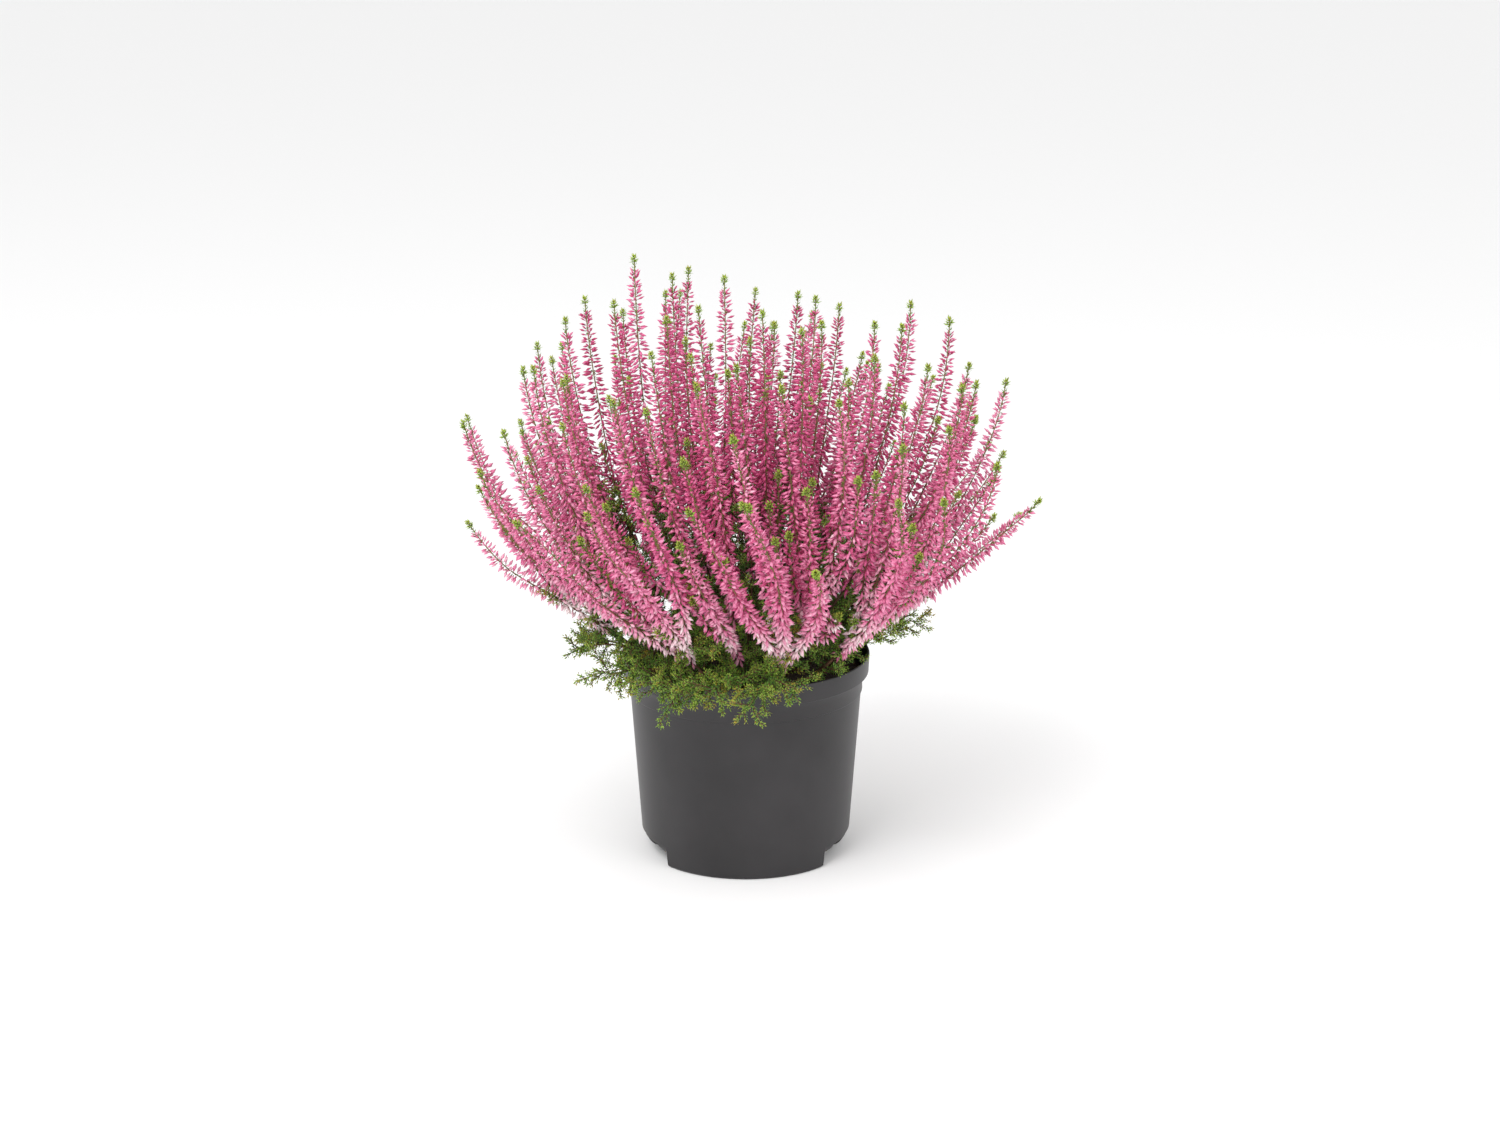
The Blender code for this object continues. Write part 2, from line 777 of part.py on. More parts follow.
def main():
    for old in list(bpy.data.objects):
        bpy.data.objects.remove(old)
    collection = bpy.data.collections.new("potted_heather")
    cutters = bpy.data.collections.new("cutters")
    bpy.context.scene.collection.children.link(collection)
    bpy.context.scene.collection.children.link(cutters)

    plastic = make_material("pot_plastic", (0.055, 0.053, 0.058), 0.45)
    peat = make_material("peat", (0.035, 0.02, 0.012), 0.95)
    pink = make_material("heather_pink", (0.75, 0.13, 0.3), 0.6)
    green = make_material("leaf_green", (0.08, 0.16, 0.02), 0.6)

    draw = random.Random(11)
    spikes = plan_spikes(draw)
    sprays = group_spikes(spikes)
    stems = []
    for number, (root, group) in enumerate(sprays, 1):
        stems.append(make_spray(f"spray_{number:02d}", root, group, draw, pink, collection))
    for number, angle in enumerate(gaps_between(sprays), 1):
        stems.append(make_shoot(f"leafy_shoot_{number:02d}", angle, draw, green, collection))
    make_pot(plastic, collection, cutters)
    make_soil(stems, peat, collection, cutters)


main()
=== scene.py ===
"""Looks of a potted heather.

Lengths are written in millimetres and turned into metres by MM where a mesh is made. The floor
and the lamps are given in metres.
The stems follow the same growth rule as the solids that they replace, drawn in the same
order, and carry real-size buds, scale leaves and leafy twigs.
"""

import itertools
import math
import random
from dataclasses import dataclass

import bpy
import numpy as np
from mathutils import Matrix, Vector


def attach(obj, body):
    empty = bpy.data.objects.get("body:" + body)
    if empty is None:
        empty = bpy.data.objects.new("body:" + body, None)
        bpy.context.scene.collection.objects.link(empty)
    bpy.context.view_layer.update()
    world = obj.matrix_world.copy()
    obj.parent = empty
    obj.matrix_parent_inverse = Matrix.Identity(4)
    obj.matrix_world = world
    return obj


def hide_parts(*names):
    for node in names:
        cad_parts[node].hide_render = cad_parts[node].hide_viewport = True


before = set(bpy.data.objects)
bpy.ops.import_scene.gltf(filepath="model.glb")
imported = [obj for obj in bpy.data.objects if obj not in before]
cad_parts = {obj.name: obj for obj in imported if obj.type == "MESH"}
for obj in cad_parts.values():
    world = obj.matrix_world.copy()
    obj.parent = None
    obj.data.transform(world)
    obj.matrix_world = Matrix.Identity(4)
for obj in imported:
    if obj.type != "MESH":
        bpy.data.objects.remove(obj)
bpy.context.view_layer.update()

MM = 0.001

# Pot
RIM_RADIUS = 60.0
POT_HEIGHT = 99.0
WALL = 1.2
BAND_HEIGHT = 9.0
NECK_HEIGHT = 9.0
BAND_TAPER = 0.4
LIP = 1.0
NECK_RADIUS = 56.0
BASE_RADIUS = 50.3
FOOT_CORNER = 1.5
BODY_CORNER = 5.5
EDGE = 0.6
FLOOR = 1.5
POT_STEPS = 120

# Two bays in the foot, left and right, with the drain slots in them
BAY_INNER = 31.0
BAY_HALF_WIDTH = 33.5
BAY_HEIGHT = 5.0
SLOT_WIDTH = 9.0
SLOT_FROM_MIDDLE = 22.0
SLOT_INNER = 39.0
SLOT_HEIGHT = 9.0
CUT_PAST = 10.0

# Soil, its crumbs and the roots that show in the bays
SOIL_TOP = 92.0
SOIL_CROWN = 2.0
HOLE_DEPTH = 9.0
GAP = 0.3
CRUMB_COUNT = 900
CRUMB_REACH = 57.0
CRUMB_RADIUS = (0.5, 1.5)
ROOT_COUNT = 26
ROOT_THICKNESS = (0.25, 0.6)
ROOT_START = (38.0, 41.0)
ROOT_LENGTH = (1.5, 3.0)
ROOT_RINGS = 6

# Shape of the plant: where its growth lines start and end, and how they lean there
ROOT_REACH = 40.0
CROWN_REACH = 140.0
CROWN_RADIUS = 150.0
CROWN_BASE = 150.0
CROWN_RISE = 134.0
CROWN_POWER = 2.6
WIDEST_PLACE = 1.05
ROOT_LEAN = math.radians(50)
ROOT_LEAN_POWER = 1.3
TIP_LEAN = math.radians(12)
TIP_LEAN_POWER = 14
ROOT_PULL = 42.0
TIP_PULL_SHARE = 0.46
TWIST = math.radians(12)
GOLDEN_ANGLE = math.radians(137.508)

# Rounds of the searches that place the growth lines and the spikes
HALVINGS = 24
TURN_ROUNDS = 12
EASE_ROUNDS = 80
GROUP_ROUNDS = 30

# Spikes
SPIKE_COUNT = 98
SPRAY_COUNT = 42
FILL_PATTERN = 400
FILL_SHARE = (0.84, 0.98)
LOW_PLACE = 0.8
LOW_SHARE = 0.35
PLACE_SPACING = 0.165
FORK_SHARE = (0.16, 0.26)
FORK_SPREAD = 0.75
FLOWER_LENGTH = (84.0, 100.0)
FRONT_FLOWERS = 0.25
FRONT_DEPTH = (60.0, 110.0)
SWAY = 0.008
SWAY_WAVES = 9.0
LINE_STEPS = 40

# Leafy shoots that rise past the rim and spread over it
SHOOT_COUNT = 11
SHOOT_ROOT = 51.5
SHOOT_PAST_RIM = (54.5, 104.0)
SHOOT_BEND = (67.0, 105.0)
SHOOT_REACH = (77.0, 93.0)
SHOOT_TIP_HEIGHT = (99.0, 110.0)
SHOOT_TURNS = (0.0, -0.15, 0.15)
SHOOT_FORK_STEP = 6
OUTER_ROOT = 0.72

# Tips of the spikes that give the plant its outline: across, depth, height
TIPS_LEFT = [
    (-134, 0, 213), (-130, 55, 199), (-114, -72, 225), (-121, 45, 200), (-110, 20, 209),
    (-103, -88, 220), (-99, 0, 250), (-101, -32, 245), (-97, 50, 233), (-89, 25, 245),
    (-82, -80, 248), (-121, -55, 195), (-129, 62, 169), (-121, -45, 172), (-93, -108, 199),
    (-91, -95, 232), (-73, -119, 210), (-62, -125, 208), (-67, -100, 243),
]
TIPS_TOP = [
    (-74, 8, 271), (-59, -34, 276), (-53, 12, 290), (-41, -72, 260), (-39, -28, 268),
    (-36, 24, 279), (-28, 48, 278), (-22, -42, 276), (-24, -95, 262), (-18, 66, 237),
    (-19, -108, 254), (-10, 18, 279), (1, -12, 255), (-4, -72, 255), (6, 52, 267),
    (8, -44, 274), (14, 22, 256), (24, 44, 267), (24, -58, 269), (21, -108, 252),
    (45, 28, 264), (46, -74, 249), (38, -110, 246), (58, 58, 234), (58, -56, 256),
    (69, 42, 222), (74, -4, 260),
]
TIPS_RIGHT = [
    (95, 2, 262), (108, 28, 236), (97, -58, 244), (77, -98, 240), (86, -98, 232),
    (113, 44, 205), (119, 64, 190), (124, 28, 193), (103, -90, 216), (134, 0, 233),
    (137, -28, 186), (143, 4, 168),
]
TIPS_FRONT = [
    (-49, -109, 244), (-9, -124, 236), (-26, -134, 210), (-31, -124, 187), (10, -133, 221),
    (25, -131, 208), (60, -121, 220), (69, -112, 227), (83, -110, 214), (38, -126, 182),
    (47, -104, 142),
]

# Lower spikes that fill in between the main ones
FILL_SPIKE_CHANCE = 0.85
FILL_SPIKE_AWAY = (0.07, 0.1)
FILL_SPIKE_SHARE = (0.68, 0.93)
FILL_SPIKE_FORK = (0.3, 0.45)
FILL_SPIKE_INSIDE = WIDEST_PLACE - 0.05

# Stems
STEM_SIDES = 5
STEM_RINGS = 22
STEM_FOOT_RADIUS = 1.25
STEM_THINNING = 2.6
STEM_TIP_RADIUS = 0.28
STEM_TIP_GAP = 1.0
BRANCH_THICKNESS = 0.75
FILL_SPIKE_THICKNESS = 0.6
SHOOT_RADIUS = 0.8
TWIG_RADIUS = 0.3

# Buds, the small leaves among them and the leafy crown over them
CROWN_LENGTH = 8.5
MAIN_FOOT = 20.0
BRANCH_FOOT = 5.0
ROSETTE_LENGTH = 3.6
WHORL_PITCH = 1.85
BUDS_IN_WHORL = 4
BUD_LENGTH = 4.9
BUD_RADIUS = 0.75
BUD_SPREAD = 0.45
BUD_TURN = 1.15
TOP_BUD_TILT = 44.0
LOW_BUD_TILT = 84.0
LOW_BUD_DROOP = 0.3
BRACT_CHANCE = 0.25
BRACT_LENGTH = 1.8
PALE_HEIGHTS = (112.0, 190.0)
PALE_REACH = (70.0, 140.0)
NECK_WHORLS = 5
NECK_TILT = (26.0, 52.0)
NECK_LEAF_LENGTH = (1.5, 2.1)
ROSETTE_LEAVES = 22
ROSETTE_LEAF_LENGTH = 2.9

# Scale leaves and twigs
LEAF_LENGTH = 1.95
LEAF_PITCH = 1.0
TWIG_PITCH = 4.8
TWIG_LENGTH = (9.0, 17.0)
TWIG_TILT = (30.0, 75.0)
SIDE_TWIG_PITCH = 1.9
SIDE_TWIG_LENGTH = (2.5, 5.5)
SIDE_TWIG_TILT = (38.0, 60.0)
SIDE_TWIG_TURN = math.radians(110)
SIDE_TWIG_START = 2.0
TWIG_LIMIT = 108.0
TWIG_SHORTENING = 0.6
TWIGS_IN_FLOWERS = 4.0
SPRAY_BARE = 5.0
SHOOT_BARE = 6.0
SHOOT_TWIGS = 1.8
YOUNG_TONE = 0.25
BROWN_CHANCE = 0.03
BROWN_TONE = 0.8

# Studio
FLOOR_SIZE = 12.0
FLOOR_GREY = 0.88
LAMP_AIM = (0.0, 0.0, 0.15)
LAMP_SIZE = 1.0
KEY_PLACE = (-0.7, -1.1, 1.5)
KEY_POWER = 22.0
FILL_PLACE = (1.2, -0.9, 0.9)
FILL_POWER = 5.0
SENSOR_WIDTH = 36.0
LENS = 67.2
CAMERA_PLACE = Vector((2.1, -1294.0, 506.3))
CAMERA_AIM = Vector((2.1, 0.0, 143.1))


@dataclass
class Spike:
    """One flower spike: its place in the plant's unit disc and how far up its line it ends."""

    place: Vector
    share: float
    flowers: float
    phase: float


def bezier(controls, share):
    """Point of a cubic curve in the upright plane."""
    rest = 1 - share
    weights = (rest ** 3, 3 * rest * rest * share, 3 * rest * share * share, share ** 3)
    across = sum(weight * point[0] for weight, point in zip(weights, controls))
    height = sum(weight * point[1] for weight, point in zip(weights, controls))
    return across, height


def crown_height(radius):
    """Height of the rounded crown that the spikes grow up to."""
    share = min(radius / CROWN_RADIUS, 0.999)
    return CROWN_BASE + CROWN_RISE * (1 - share ** CROWN_POWER) ** (1 / CROWN_POWER)


def growth_controls(place):
    """Curve from the soil to the crown at this distance from the middle of the unit disc."""
    root_lean = ROOT_LEAN * min(place, 1.0) ** ROOT_LEAN_POWER
    tip_lean = TIP_LEAN * place ** TIP_LEAN_POWER
    root = (ROOT_REACH * place, SOIL_TOP)
    tip_across = CROWN_REACH * place
    tip = (tip_across, crown_height(tip_across))
    tip_pull = TIP_PULL_SHARE * (tip[1] - SOIL_TOP)
    return (
        root,
        (root[0] + ROOT_PULL * math.sin(root_lean), root[1] + ROOT_PULL * math.cos(root_lean)),
        (tip[0] - tip_pull * math.sin(tip_lean), tip[1] - tip_pull * math.cos(tip_lean)),
        tip,
    )


def twist(heading, share):
    """Turn of a growth line about the pot's axis, greatest at its root, in front and behind."""
    return TWIST * (1 - share) * (1 - 0.5 * math.cos(2 * heading))


def growth_point(place, share):
    """Point in space on the growth line of a place of the unit disc."""
    across, height = bezier(growth_controls(place.length), share)
    heading = math.atan2(place.y, place.x)
    heading += twist(heading, share)
    return Vector((across * math.cos(heading), across * math.sin(heading), height))


def share_at_height(distance, height):
    """How far up a growth line it reaches this height."""
    controls = growth_controls(distance)
    low, high = 0.0, 1.1
    for _ in range(HALVINGS):
        middle = (low + high) / 2
        if bezier(controls, middle)[1] < height:
            low = middle
        else:
            high = middle
    return low


def place_of(tip):
    """Place of the growth line that passes through this tip."""
    across = math.hypot(tip[0], tip[1])
    low, high = 0.0, WIDEST_PLACE
    for _ in range(HALVINGS):
        middle = (low + high) / 2
        share = share_at_height(middle, tip[2])
        if bezier(growth_controls(middle), share)[0] < across:
            low = middle
        else:
            high = middle
    share = share_at_height(low, tip[2])
    tip_heading = math.atan2(tip[1], tip[0])
    heading = tip_heading
    for _ in range(TURN_ROUNDS):
        heading = tip_heading - twist(heading, share)
    return Vector((math.cos(heading), math.sin(heading))) * low


def ease_apart(spikes):
    """Move places that crowd each other apart until all keep their spacing."""
    for _ in range(EASE_ROUNDS):
        for index, first in enumerate(spikes):
            for second in spikes[index + 1:]:
                offset = second.place - first.place
                short = PLACE_SPACING - offset.length
                if short <= 0:
                    continue
                step = offset.normalized() * (short / 2)
                first.place -= step
                second.place += step
        for spike in spikes:
            if spike.place.length > WIDEST_PLACE:
                spike.place *= WIDEST_PLACE / spike.place.length


def sunflower(count):
    """Places spread evenly over the unit disc."""
    places = []
    for number in range(count):
        distance = math.sqrt((number + 0.5) / count)
        angle = number * GOLDEN_ANGLE
        places.append(Vector((math.cos(angle), math.sin(angle))) * distance)
    return places


def plan_spikes(draw):
    """The listed tips first, then a sunflower pattern in the room that they leave."""
    tips = TIPS_LEFT + TIPS_TOP + TIPS_RIGHT + TIPS_FRONT
    spikes = [Spike(place_of(tip), 1.0, 0.0, 0.0) for tip in tips]
    candidates = sunflower(FILL_PATTERN)
    while len(spikes) < SPIKE_COUNT:
        roomiest = max(
            candidates,
            key=lambda place: min((place - spike.place).length for spike in spikes),
        )
        share = draw.uniform(*FILL_SHARE)
        outside = max(0.0, roomiest.length - LOW_PLACE) / (1 - LOW_PLACE)
        share -= LOW_SHARE * outside * draw.random()
        spikes.append(Spike(roomiest.copy(), share, 0.0, 0.0))
    ease_apart(spikes)
    for spike, tip in zip(spikes, tips):
        spike.share = share_at_height(spike.place.length, tip[2])
    for spike in spikes:
        spike.flowers = draw.uniform(*FLOWER_LENGTH) * (0.55 + 0.45 * spike.share)
        spike.phase = draw.uniform(0, math.tau)
    return spikes


def group_spikes(spikes):
    """Share the spikes out to sprays, each with the spikes nearest to its own root."""
    roots = sunflower(SPRAY_COUNT)
    for _ in range(GROUP_ROUNDS):
        groups = [[] for _ in roots]
        for spike in spikes:
            nearest = min(range(len(roots)), key=lambda n: (spike.place - roots[n]).length)
            groups[nearest].append(spike)
        for number, group in enumerate(groups):
            if group:
                middle = sum((spike.place for spike in group), Vector((0, 0)))
                roots[number] = middle / len(group)
    return [(root, group) for root, group in zip(roots, groups) if group]


def place_along(spike, root, fork, share):
    """Place in the unit disc through which a spike's stem passes at this share of its way."""
    away = (share - fork) / (FORK_SPREAD * (spike.share - fork))
    away = min(max(away, 0.0), 1.0)
    place = root.lerp(spike.place, 1 - (1 - away) ** 2)
    sway = SWAY * away * math.sin(SWAY_WAVES * share + spike.phase)
    return place + Vector((math.cos(spike.phase), math.sin(spike.phase))) * sway


def shares_from(start, end):
    """Evenly spaced shares of the way up a growth line."""
    return [start + (end - start) * step / LINE_STEPS for step in range(LINE_STEPS + 1)]


def spike_line(spike, root, fork, start):
    """Points up the middle of a spike's stem, which leaves its spray's root line at the fork."""
    shares = shares_from(start, spike.share)
    return [growth_point(place_along(spike, root, fork, share), share) for share in shares]


def fill_line(spike, parent, root, fork, own_fork):
    """Points up the middle of a fill spike's stem, which leaves its parent's at its own fork."""
    points = []
    for share in shares_from(own_fork, spike.share):
        away = min((share - own_fork) / (FORK_SPREAD * (spike.share - own_fork)), 1.0)
        place = place_along(parent, root, fork, share)
        place = place.lerp(spike.place, 1 - (1 - away) ** 2)
        points.append(growth_point(place, share))
    return points


def buried(points):
    """The same line with its straight end in the soil hole put before it."""
    down = (points[0] - points[1]).normalized()
    return [points[0] + down * (HOLE_DEPTH - GAP)] + points


def shoot_line(angle, turn, reach, height):
    """Line of a leafy shoot: up from the soil, over the rim and out or down."""
    controls = ((SHOOT_ROOT, SOIL_TOP), SHOOT_PAST_RIM, SHOOT_BEND, (reach, height))
    points = []
    for step in range(LINE_STEPS + 1):
        share = step / LINE_STEPS
        across, up = bezier(controls, share)
        heading = angle + turn * share * share
        points.append(Vector((across * math.cos(heading), across * math.sin(heading), up)))
    return points


def gaps_between(sprays):
    """Middles of the widest gaps round the rim between the outer sprays."""
    outer = [root for root, _ in sprays if root.length > OUTER_ROOT]
    headings = [math.atan2(root.y, root.x) for root in outer]
    angles = sorted((heading + twist(heading, 0)) % math.tau for heading in headings)
    gaps = []
    for number, angle in enumerate(angles):
        following = angles[(number + 1) % len(angles)]
        width = (following - angle) % math.tau
        gaps.append((width, angle + width / 2))
    gaps.sort(reverse=True)
    return sorted(angle for _, angle in gaps[:SHOOT_COUNT])


def between(ends, share):
    """Value at this share of the way from the first end to the second."""
    return ends[0] + (ends[1] - ends[0]) * share


def unit(vectors):
    """Vectors scaled to length one."""
    return vectors / np.linalg.norm(vectors, axis=-1, keepdims=True)


def smooth(low, high, value):
    """Soft step from 0 at low to 1 at high."""
    share = np.clip((value - low) / (high - low), 0.0, 1.0)
    return share * share * (3 - 2 * share)


class Line:
    """A stem's middle line, read by the distance from its tip."""

    def __init__(self, points):
        self.points = np.array(points, float)[::-1]
        steps = np.linalg.norm(np.diff(self.points, axis=0), axis=1)
        self.from_tip = np.concatenate([[0.0], np.cumsum(steps)])
        self.length = self.from_tip[-1]
        self.tangents = -np.gradient(self.points, self.from_tip, axis=0)

    def read(self, values, distances):
        """Values at distances from the tip."""
        columns = [np.interp(distances, self.from_tip, values[:, axis]) for axis in range(3)]
        return np.stack(columns, axis=-1)

    def frames(self, distances):
        """Middles and axes at distances from the tip; the last axis runs up the line."""
        along = unit(self.read(self.tangents, distances))
        side = unit(np.cross(along, (0.31, 0.95, 0.0)))
        return self.read(self.points, distances), side, np.cross(along, side), along


@dataclass
class Form:
    """A small form of which many copies are made: its points are across, deep and along it."""

    points: np.ndarray
    faces: np.ndarray
    marks: np.ndarray


def ring_faces(first, second, count):
    """Triangles between two rings of as many points, by their first indices."""
    faces = []
    for number in range(count):
        following = (number + 1) % count
        lower, upper = first + number, second + number
        faces.append((lower, first + following, upper))
        faces.append((first + following, second + following, upper))
    return faces


def bud_form():
    """Closed bud of four sepals, one unit long from its stalk, with a belly of radius one.

    The marks run from 0 at the stalk to 1 at the tip, with 2 added in the grooves.
    """
    points = [(0, 0, 0)]
    marks = [0.0]
    for number in range(8):
        angle = number * math.tau / 8
        groove = number % 2
        radius = 0.74 if groove else 1.0
        points.append((radius * math.cos(angle), radius * math.sin(angle), 0.55))
        marks.append(0.55 + 2 * groove)
    points.append((0, 0, 1.0))
    marks.append(1.0)
    faces = []
    for number in range(8):
        following = (number + 1) % 8
        faces.append((0, 1 + following, 1 + number))
        faces.append((9, 1 + number, 1 + following))
    return Form(np.array(points, float), np.array(faces), np.array(marks))


def plain_bud_form():
    """The same bud in a few faces, for those behind and below."""
    points = [(0, 0, 0)]
    marks = [0.1]
    for number in range(5):
        angle = number * math.tau / 5
        points.append((0.92 * math.cos(angle), 0.92 * math.sin(angle), 0.58))
        marks.append(0.6)
    points.append((0, 0, 1.0))
    marks.append(1.0)
    faces = []
    for number in range(5):
        following = (number + 1) % 5
        faces.append((0, 1 + following, 1 + number))
        faces.append((6, 1 + number, 1 + following))
    return Form(np.array(points, float), np.array(faces), np.array(marks))


def leaf_form():
    """Small scale leaf, one unit long, hollow on the side that faces its stem."""
    points = [(0, 0, 0), (-0.26, 0.12, 0.45), (0.26, 0.12, 0.45), (0, 0.1, 1.0)]
    faces = [(0, 2, 1), (1, 2, 3), (0, 1, 3), (0, 3, 2)]
    return Form(np.array(points, float), np.array(faces), np.array([0, 0.45, 0.45, 1.0]))


BUD = bud_form()
PLAIN_BUD = plain_bud_form()
LEAF = leaf_form()


class Bunch:
    """Copies of forms, gathered for one piece."""

    def __init__(self):
        self.points = []
        self.faces = []
        self.tones = []
        self.marks = []
        self.count = 0

    def add_mesh(self, points, faces, tones, marks):
        """Take in a mesh as it is."""
        self.points.append(points)
        self.faces.append(np.asarray(faces) + self.count)
        self.tones.append(tones)
        self.marks.append(marks)
        self.count += len(points)

    def add(self, form, middles, sides, fronts, alongs, tones):
        """Take in a copy of a form for each row; the axes hold its size in each direction."""
        size = len(form.points)
        points = middles[:, None, :] + form.points[None, :, 0:1] * sides[:, None, :]
        points = points + form.points[None, :, 1:2] * fronts[:, None, :]
        points = points + form.points[None, :, 2:3] * alongs[:, None, :]
        starts = np.arange(len(middles)) * size
        faces = form.faces[None, :, :] + starts[:, None, None]
        self.add_mesh(
            points.reshape(-1, 3),
            faces.reshape(-1, 3),
            np.repeat(tones, size),
            np.tile(form.marks, len(middles)),
        )

    def make(self, name, material, slot, *nodes):
        """One piece of the model from all that was taken in."""
        mesh = bpy.data.meshes.new(name)
        points = np.concatenate(self.points) * MM
        mesh.from_pydata(points.tolist(), [], np.concatenate(self.faces).tolist())
        for title, values in (("tone", self.tones), ("mark", self.marks)):
            attribute = mesh.attributes.new(title, "FLOAT", "POINT")
            attribute.data.foreach_set("value", np.concatenate(values).astype(np.float32))
        mesh.shade_smooth()
        mesh.materials.append(material)
        piece = bpy.data.objects.new(name, mesh)
        bpy.context.scene.collection.objects.link(piece)
        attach(piece, "root")
        if nodes:
            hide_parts(*nodes)
        return piece


def tube(bunch, middles, sides, fronts, radii, count, tone=0.0):
    """Tube through rings with axes and radii, closed at both ends."""
    rings = len(middles)
    angles = np.arange(count) * math.tau / count
    across = sides[:, None, :] * np.cos(angles)[None, :, None]
    across = across + fronts[:, None, :] * np.sin(angles)[None, :, None]
    points = middles[:, None, :] + across * np.asarray(radii)[:, None, None]
    faces = []
    for ring in range(rings - 1):
        faces += ring_faces(ring * count, (ring + 1) * count, count)
    for number in range(1, count - 1):
        faces.append((0, number + 1, number))
        last = (rings - 1) * count
        faces.append((last, last + number, last + number + 1))
    marks = np.repeat(np.linspace(0, 1, rings), count)
    bunch.add_mesh(points.reshape(-1, 3), faces, np.full(rings * count, tone), marks)


def stem(bunch, line, foot_radius):
    """Stem up a line, thinner towards its tip."""
    distances = np.linspace(line.length, STEM_TIP_GAP, STEM_RINGS)
    middles, side, front, _ = line.frames(distances)
    grown = (distances / line.length) ** STEM_THINNING
    radii = STEM_TIP_RADIUS + (foot_radius - STEM_TIP_RADIUS) * grown
    tube(bunch, middles, side, front, radii, STEM_SIDES)


def outward(side, front, angles):
    """Directions square to a stem at these angles round it."""
    return side * np.cos(angles)[:, None] + front * np.sin(angles)[:, None]


def tilted(out, along, tilts):
    """Directions that lean away from a stem by these tilts."""
    return out * np.sin(tilts)[:, None] + along * np.cos(tilts)[:, None]


def add_leaves(bunch, middles, out, along, tilts, lengths, tones):
    """Scale leaves that leave a stem on their out side, leaning away from it by their tilts."""
    direction = tilted(out, along, tilts)
    side = unit(np.cross(direction, out + 0.2 * along + 0.01))
    back = np.cross(side, direction)
    sizes = lengths[:, None]
    bunch.add(LEAF, middles, side * sizes, back * sizes, direction * sizes, tones)


def add_buds(buds, leaves, line, spike, form, draw):
    """Whorls of buds down the flowering length of a spike, closer and shorter near its top."""
    whorls = max(6, round(spike.flowers / WHORL_PITCH))
    down = np.repeat(((np.arange(whorls) + 0.5) / whorls) ** 1.25, BUDS_IN_WHORL)
    number = np.arange(whorls * BUDS_IN_WHORL)
    count = len(number)
    distances = CROWN_LENGTH + down * spike.flowers + draw.uniform(-0.6, 0.6, count)
    middles, side, front, along = line.frames(distances)
    turns = (number // BUDS_IN_WHORL) * BUD_TURN + (number % BUDS_IN_WHORL) * math.tau / BUDS_IN_WHORL
    out = outward(side, front, turns + draw.normal(0, 0.25, count) + spike.phase)
    tilts = np.radians(TOP_BUD_TILT + LOW_BUD_TILT * down ** 0.6 + draw.normal(0, 12, count))
    direction = tilted(out, along, tilts)
    direction = unit(direction - np.array((0, 0, LOW_BUD_DROOP)) * down[:, None])
    across = unit(np.cross(direction, along))
    deep = np.cross(direction, across)
    grown = (0.66 + 0.34 * smooth(0.0, 0.35, down)) * (1 + draw.normal(0, 0.09, count))
    length = (BUD_LENGTH * grown)[:, None]
    radius = (BUD_RADIUS * grown * draw.uniform(0.85, 1.15, count))[:, None]
    starts = middles + out * (BUD_SPREAD * draw.uniform(0.3, 1.7, count))[:, None]
    tones = bud_tones(middles, down, spike, draw)
    buds.add(form, starts, across * radius, deep * radius, direction * length, tones)

    bracts = draw.random(count) < BRACT_CHANCE
    bract_out = outward(side, front, turns + 0.5 + spike.phase)[bracts]
    bract_tilts = np.radians(draw.uniform(35, 70, bracts.sum()))
    bract_lengths = BRACT_LENGTH * draw.uniform(0.8, 1.25, bracts.sum())
    tones = draw.uniform(0.3, 0.6, bracts.sum())
    add_leaves(
        leaves, middles[bracts], bract_out, along[bracts], bract_tilts, bract_lengths, tones
    )


def bud_tones(middles, down, spike, draw):
    """Paleness of buds: deep pink high up and inside, nearly white at low ends and low outside."""
    height = middles[:, 2]
    away = np.hypot(middles[:, 0], middles[:, 1])
    low = 1 - smooth(*PALE_HEIGHTS, height)
    outside = smooth(*PALE_REACH, away)
    own = 0.12 * math.sin(3 * spike.phase)
    tones = 0.18 + low * (0.12 + 0.45 * down) * (0.5 + 0.6 * outside) + 0.18 * outside + own
    tones += 0.6 * smooth(0.45, 0.95, down) * smooth(60, 85, away) * low
    return np.clip(tones + draw.normal(0, 0.13, len(down)), 0, 1)


def add_crown(leaves, line, draw):
    """Leafy green neck over the flowers, and the bright open rosette at the tip."""
    number = np.arange(NECK_WHORLS * 3)
    distances = ROSETTE_LENGTH + (number // 3) * (CROWN_LENGTH + 2 - ROSETTE_LENGTH) / NECK_WHORLS
    middles, side, front, along = line.frames(distances)
    turns = (number // 3) * math.tau / 6 + (number % 3) * math.tau / 3
    out = outward(side, front, turns + draw.normal(0, 0.2, len(number)))
    tilts = np.radians(draw.uniform(*NECK_TILT, len(number)))
    lengths = draw.uniform(*NECK_LEAF_LENGTH, len(number))
    tones = 0.62 - 0.2 * (distances - ROSETTE_LENGTH) / CROWN_LENGTH
    add_leaves(leaves, middles + out * 0.25, out, along, tilts, lengths, tones)

    number = np.arange(ROSETTE_LEAVES)
    up = number / len(number)
    middles, side, front, along = line.frames(ROSETTE_LENGTH * (1 - 0.8 * up))
    out = outward(side, front, number * GOLDEN_ANGLE)
    tilts = np.radians(84 - 66 * up + draw.normal(0, 8, len(number)))
    lengths = ROSETTE_LEAF_LENGTH - 0.8 * up + draw.uniform(-0.3, 0.3, len(number))
    add_leaves(leaves, middles, out, along, tilts, lengths, 0.76 + 0.1 * up)


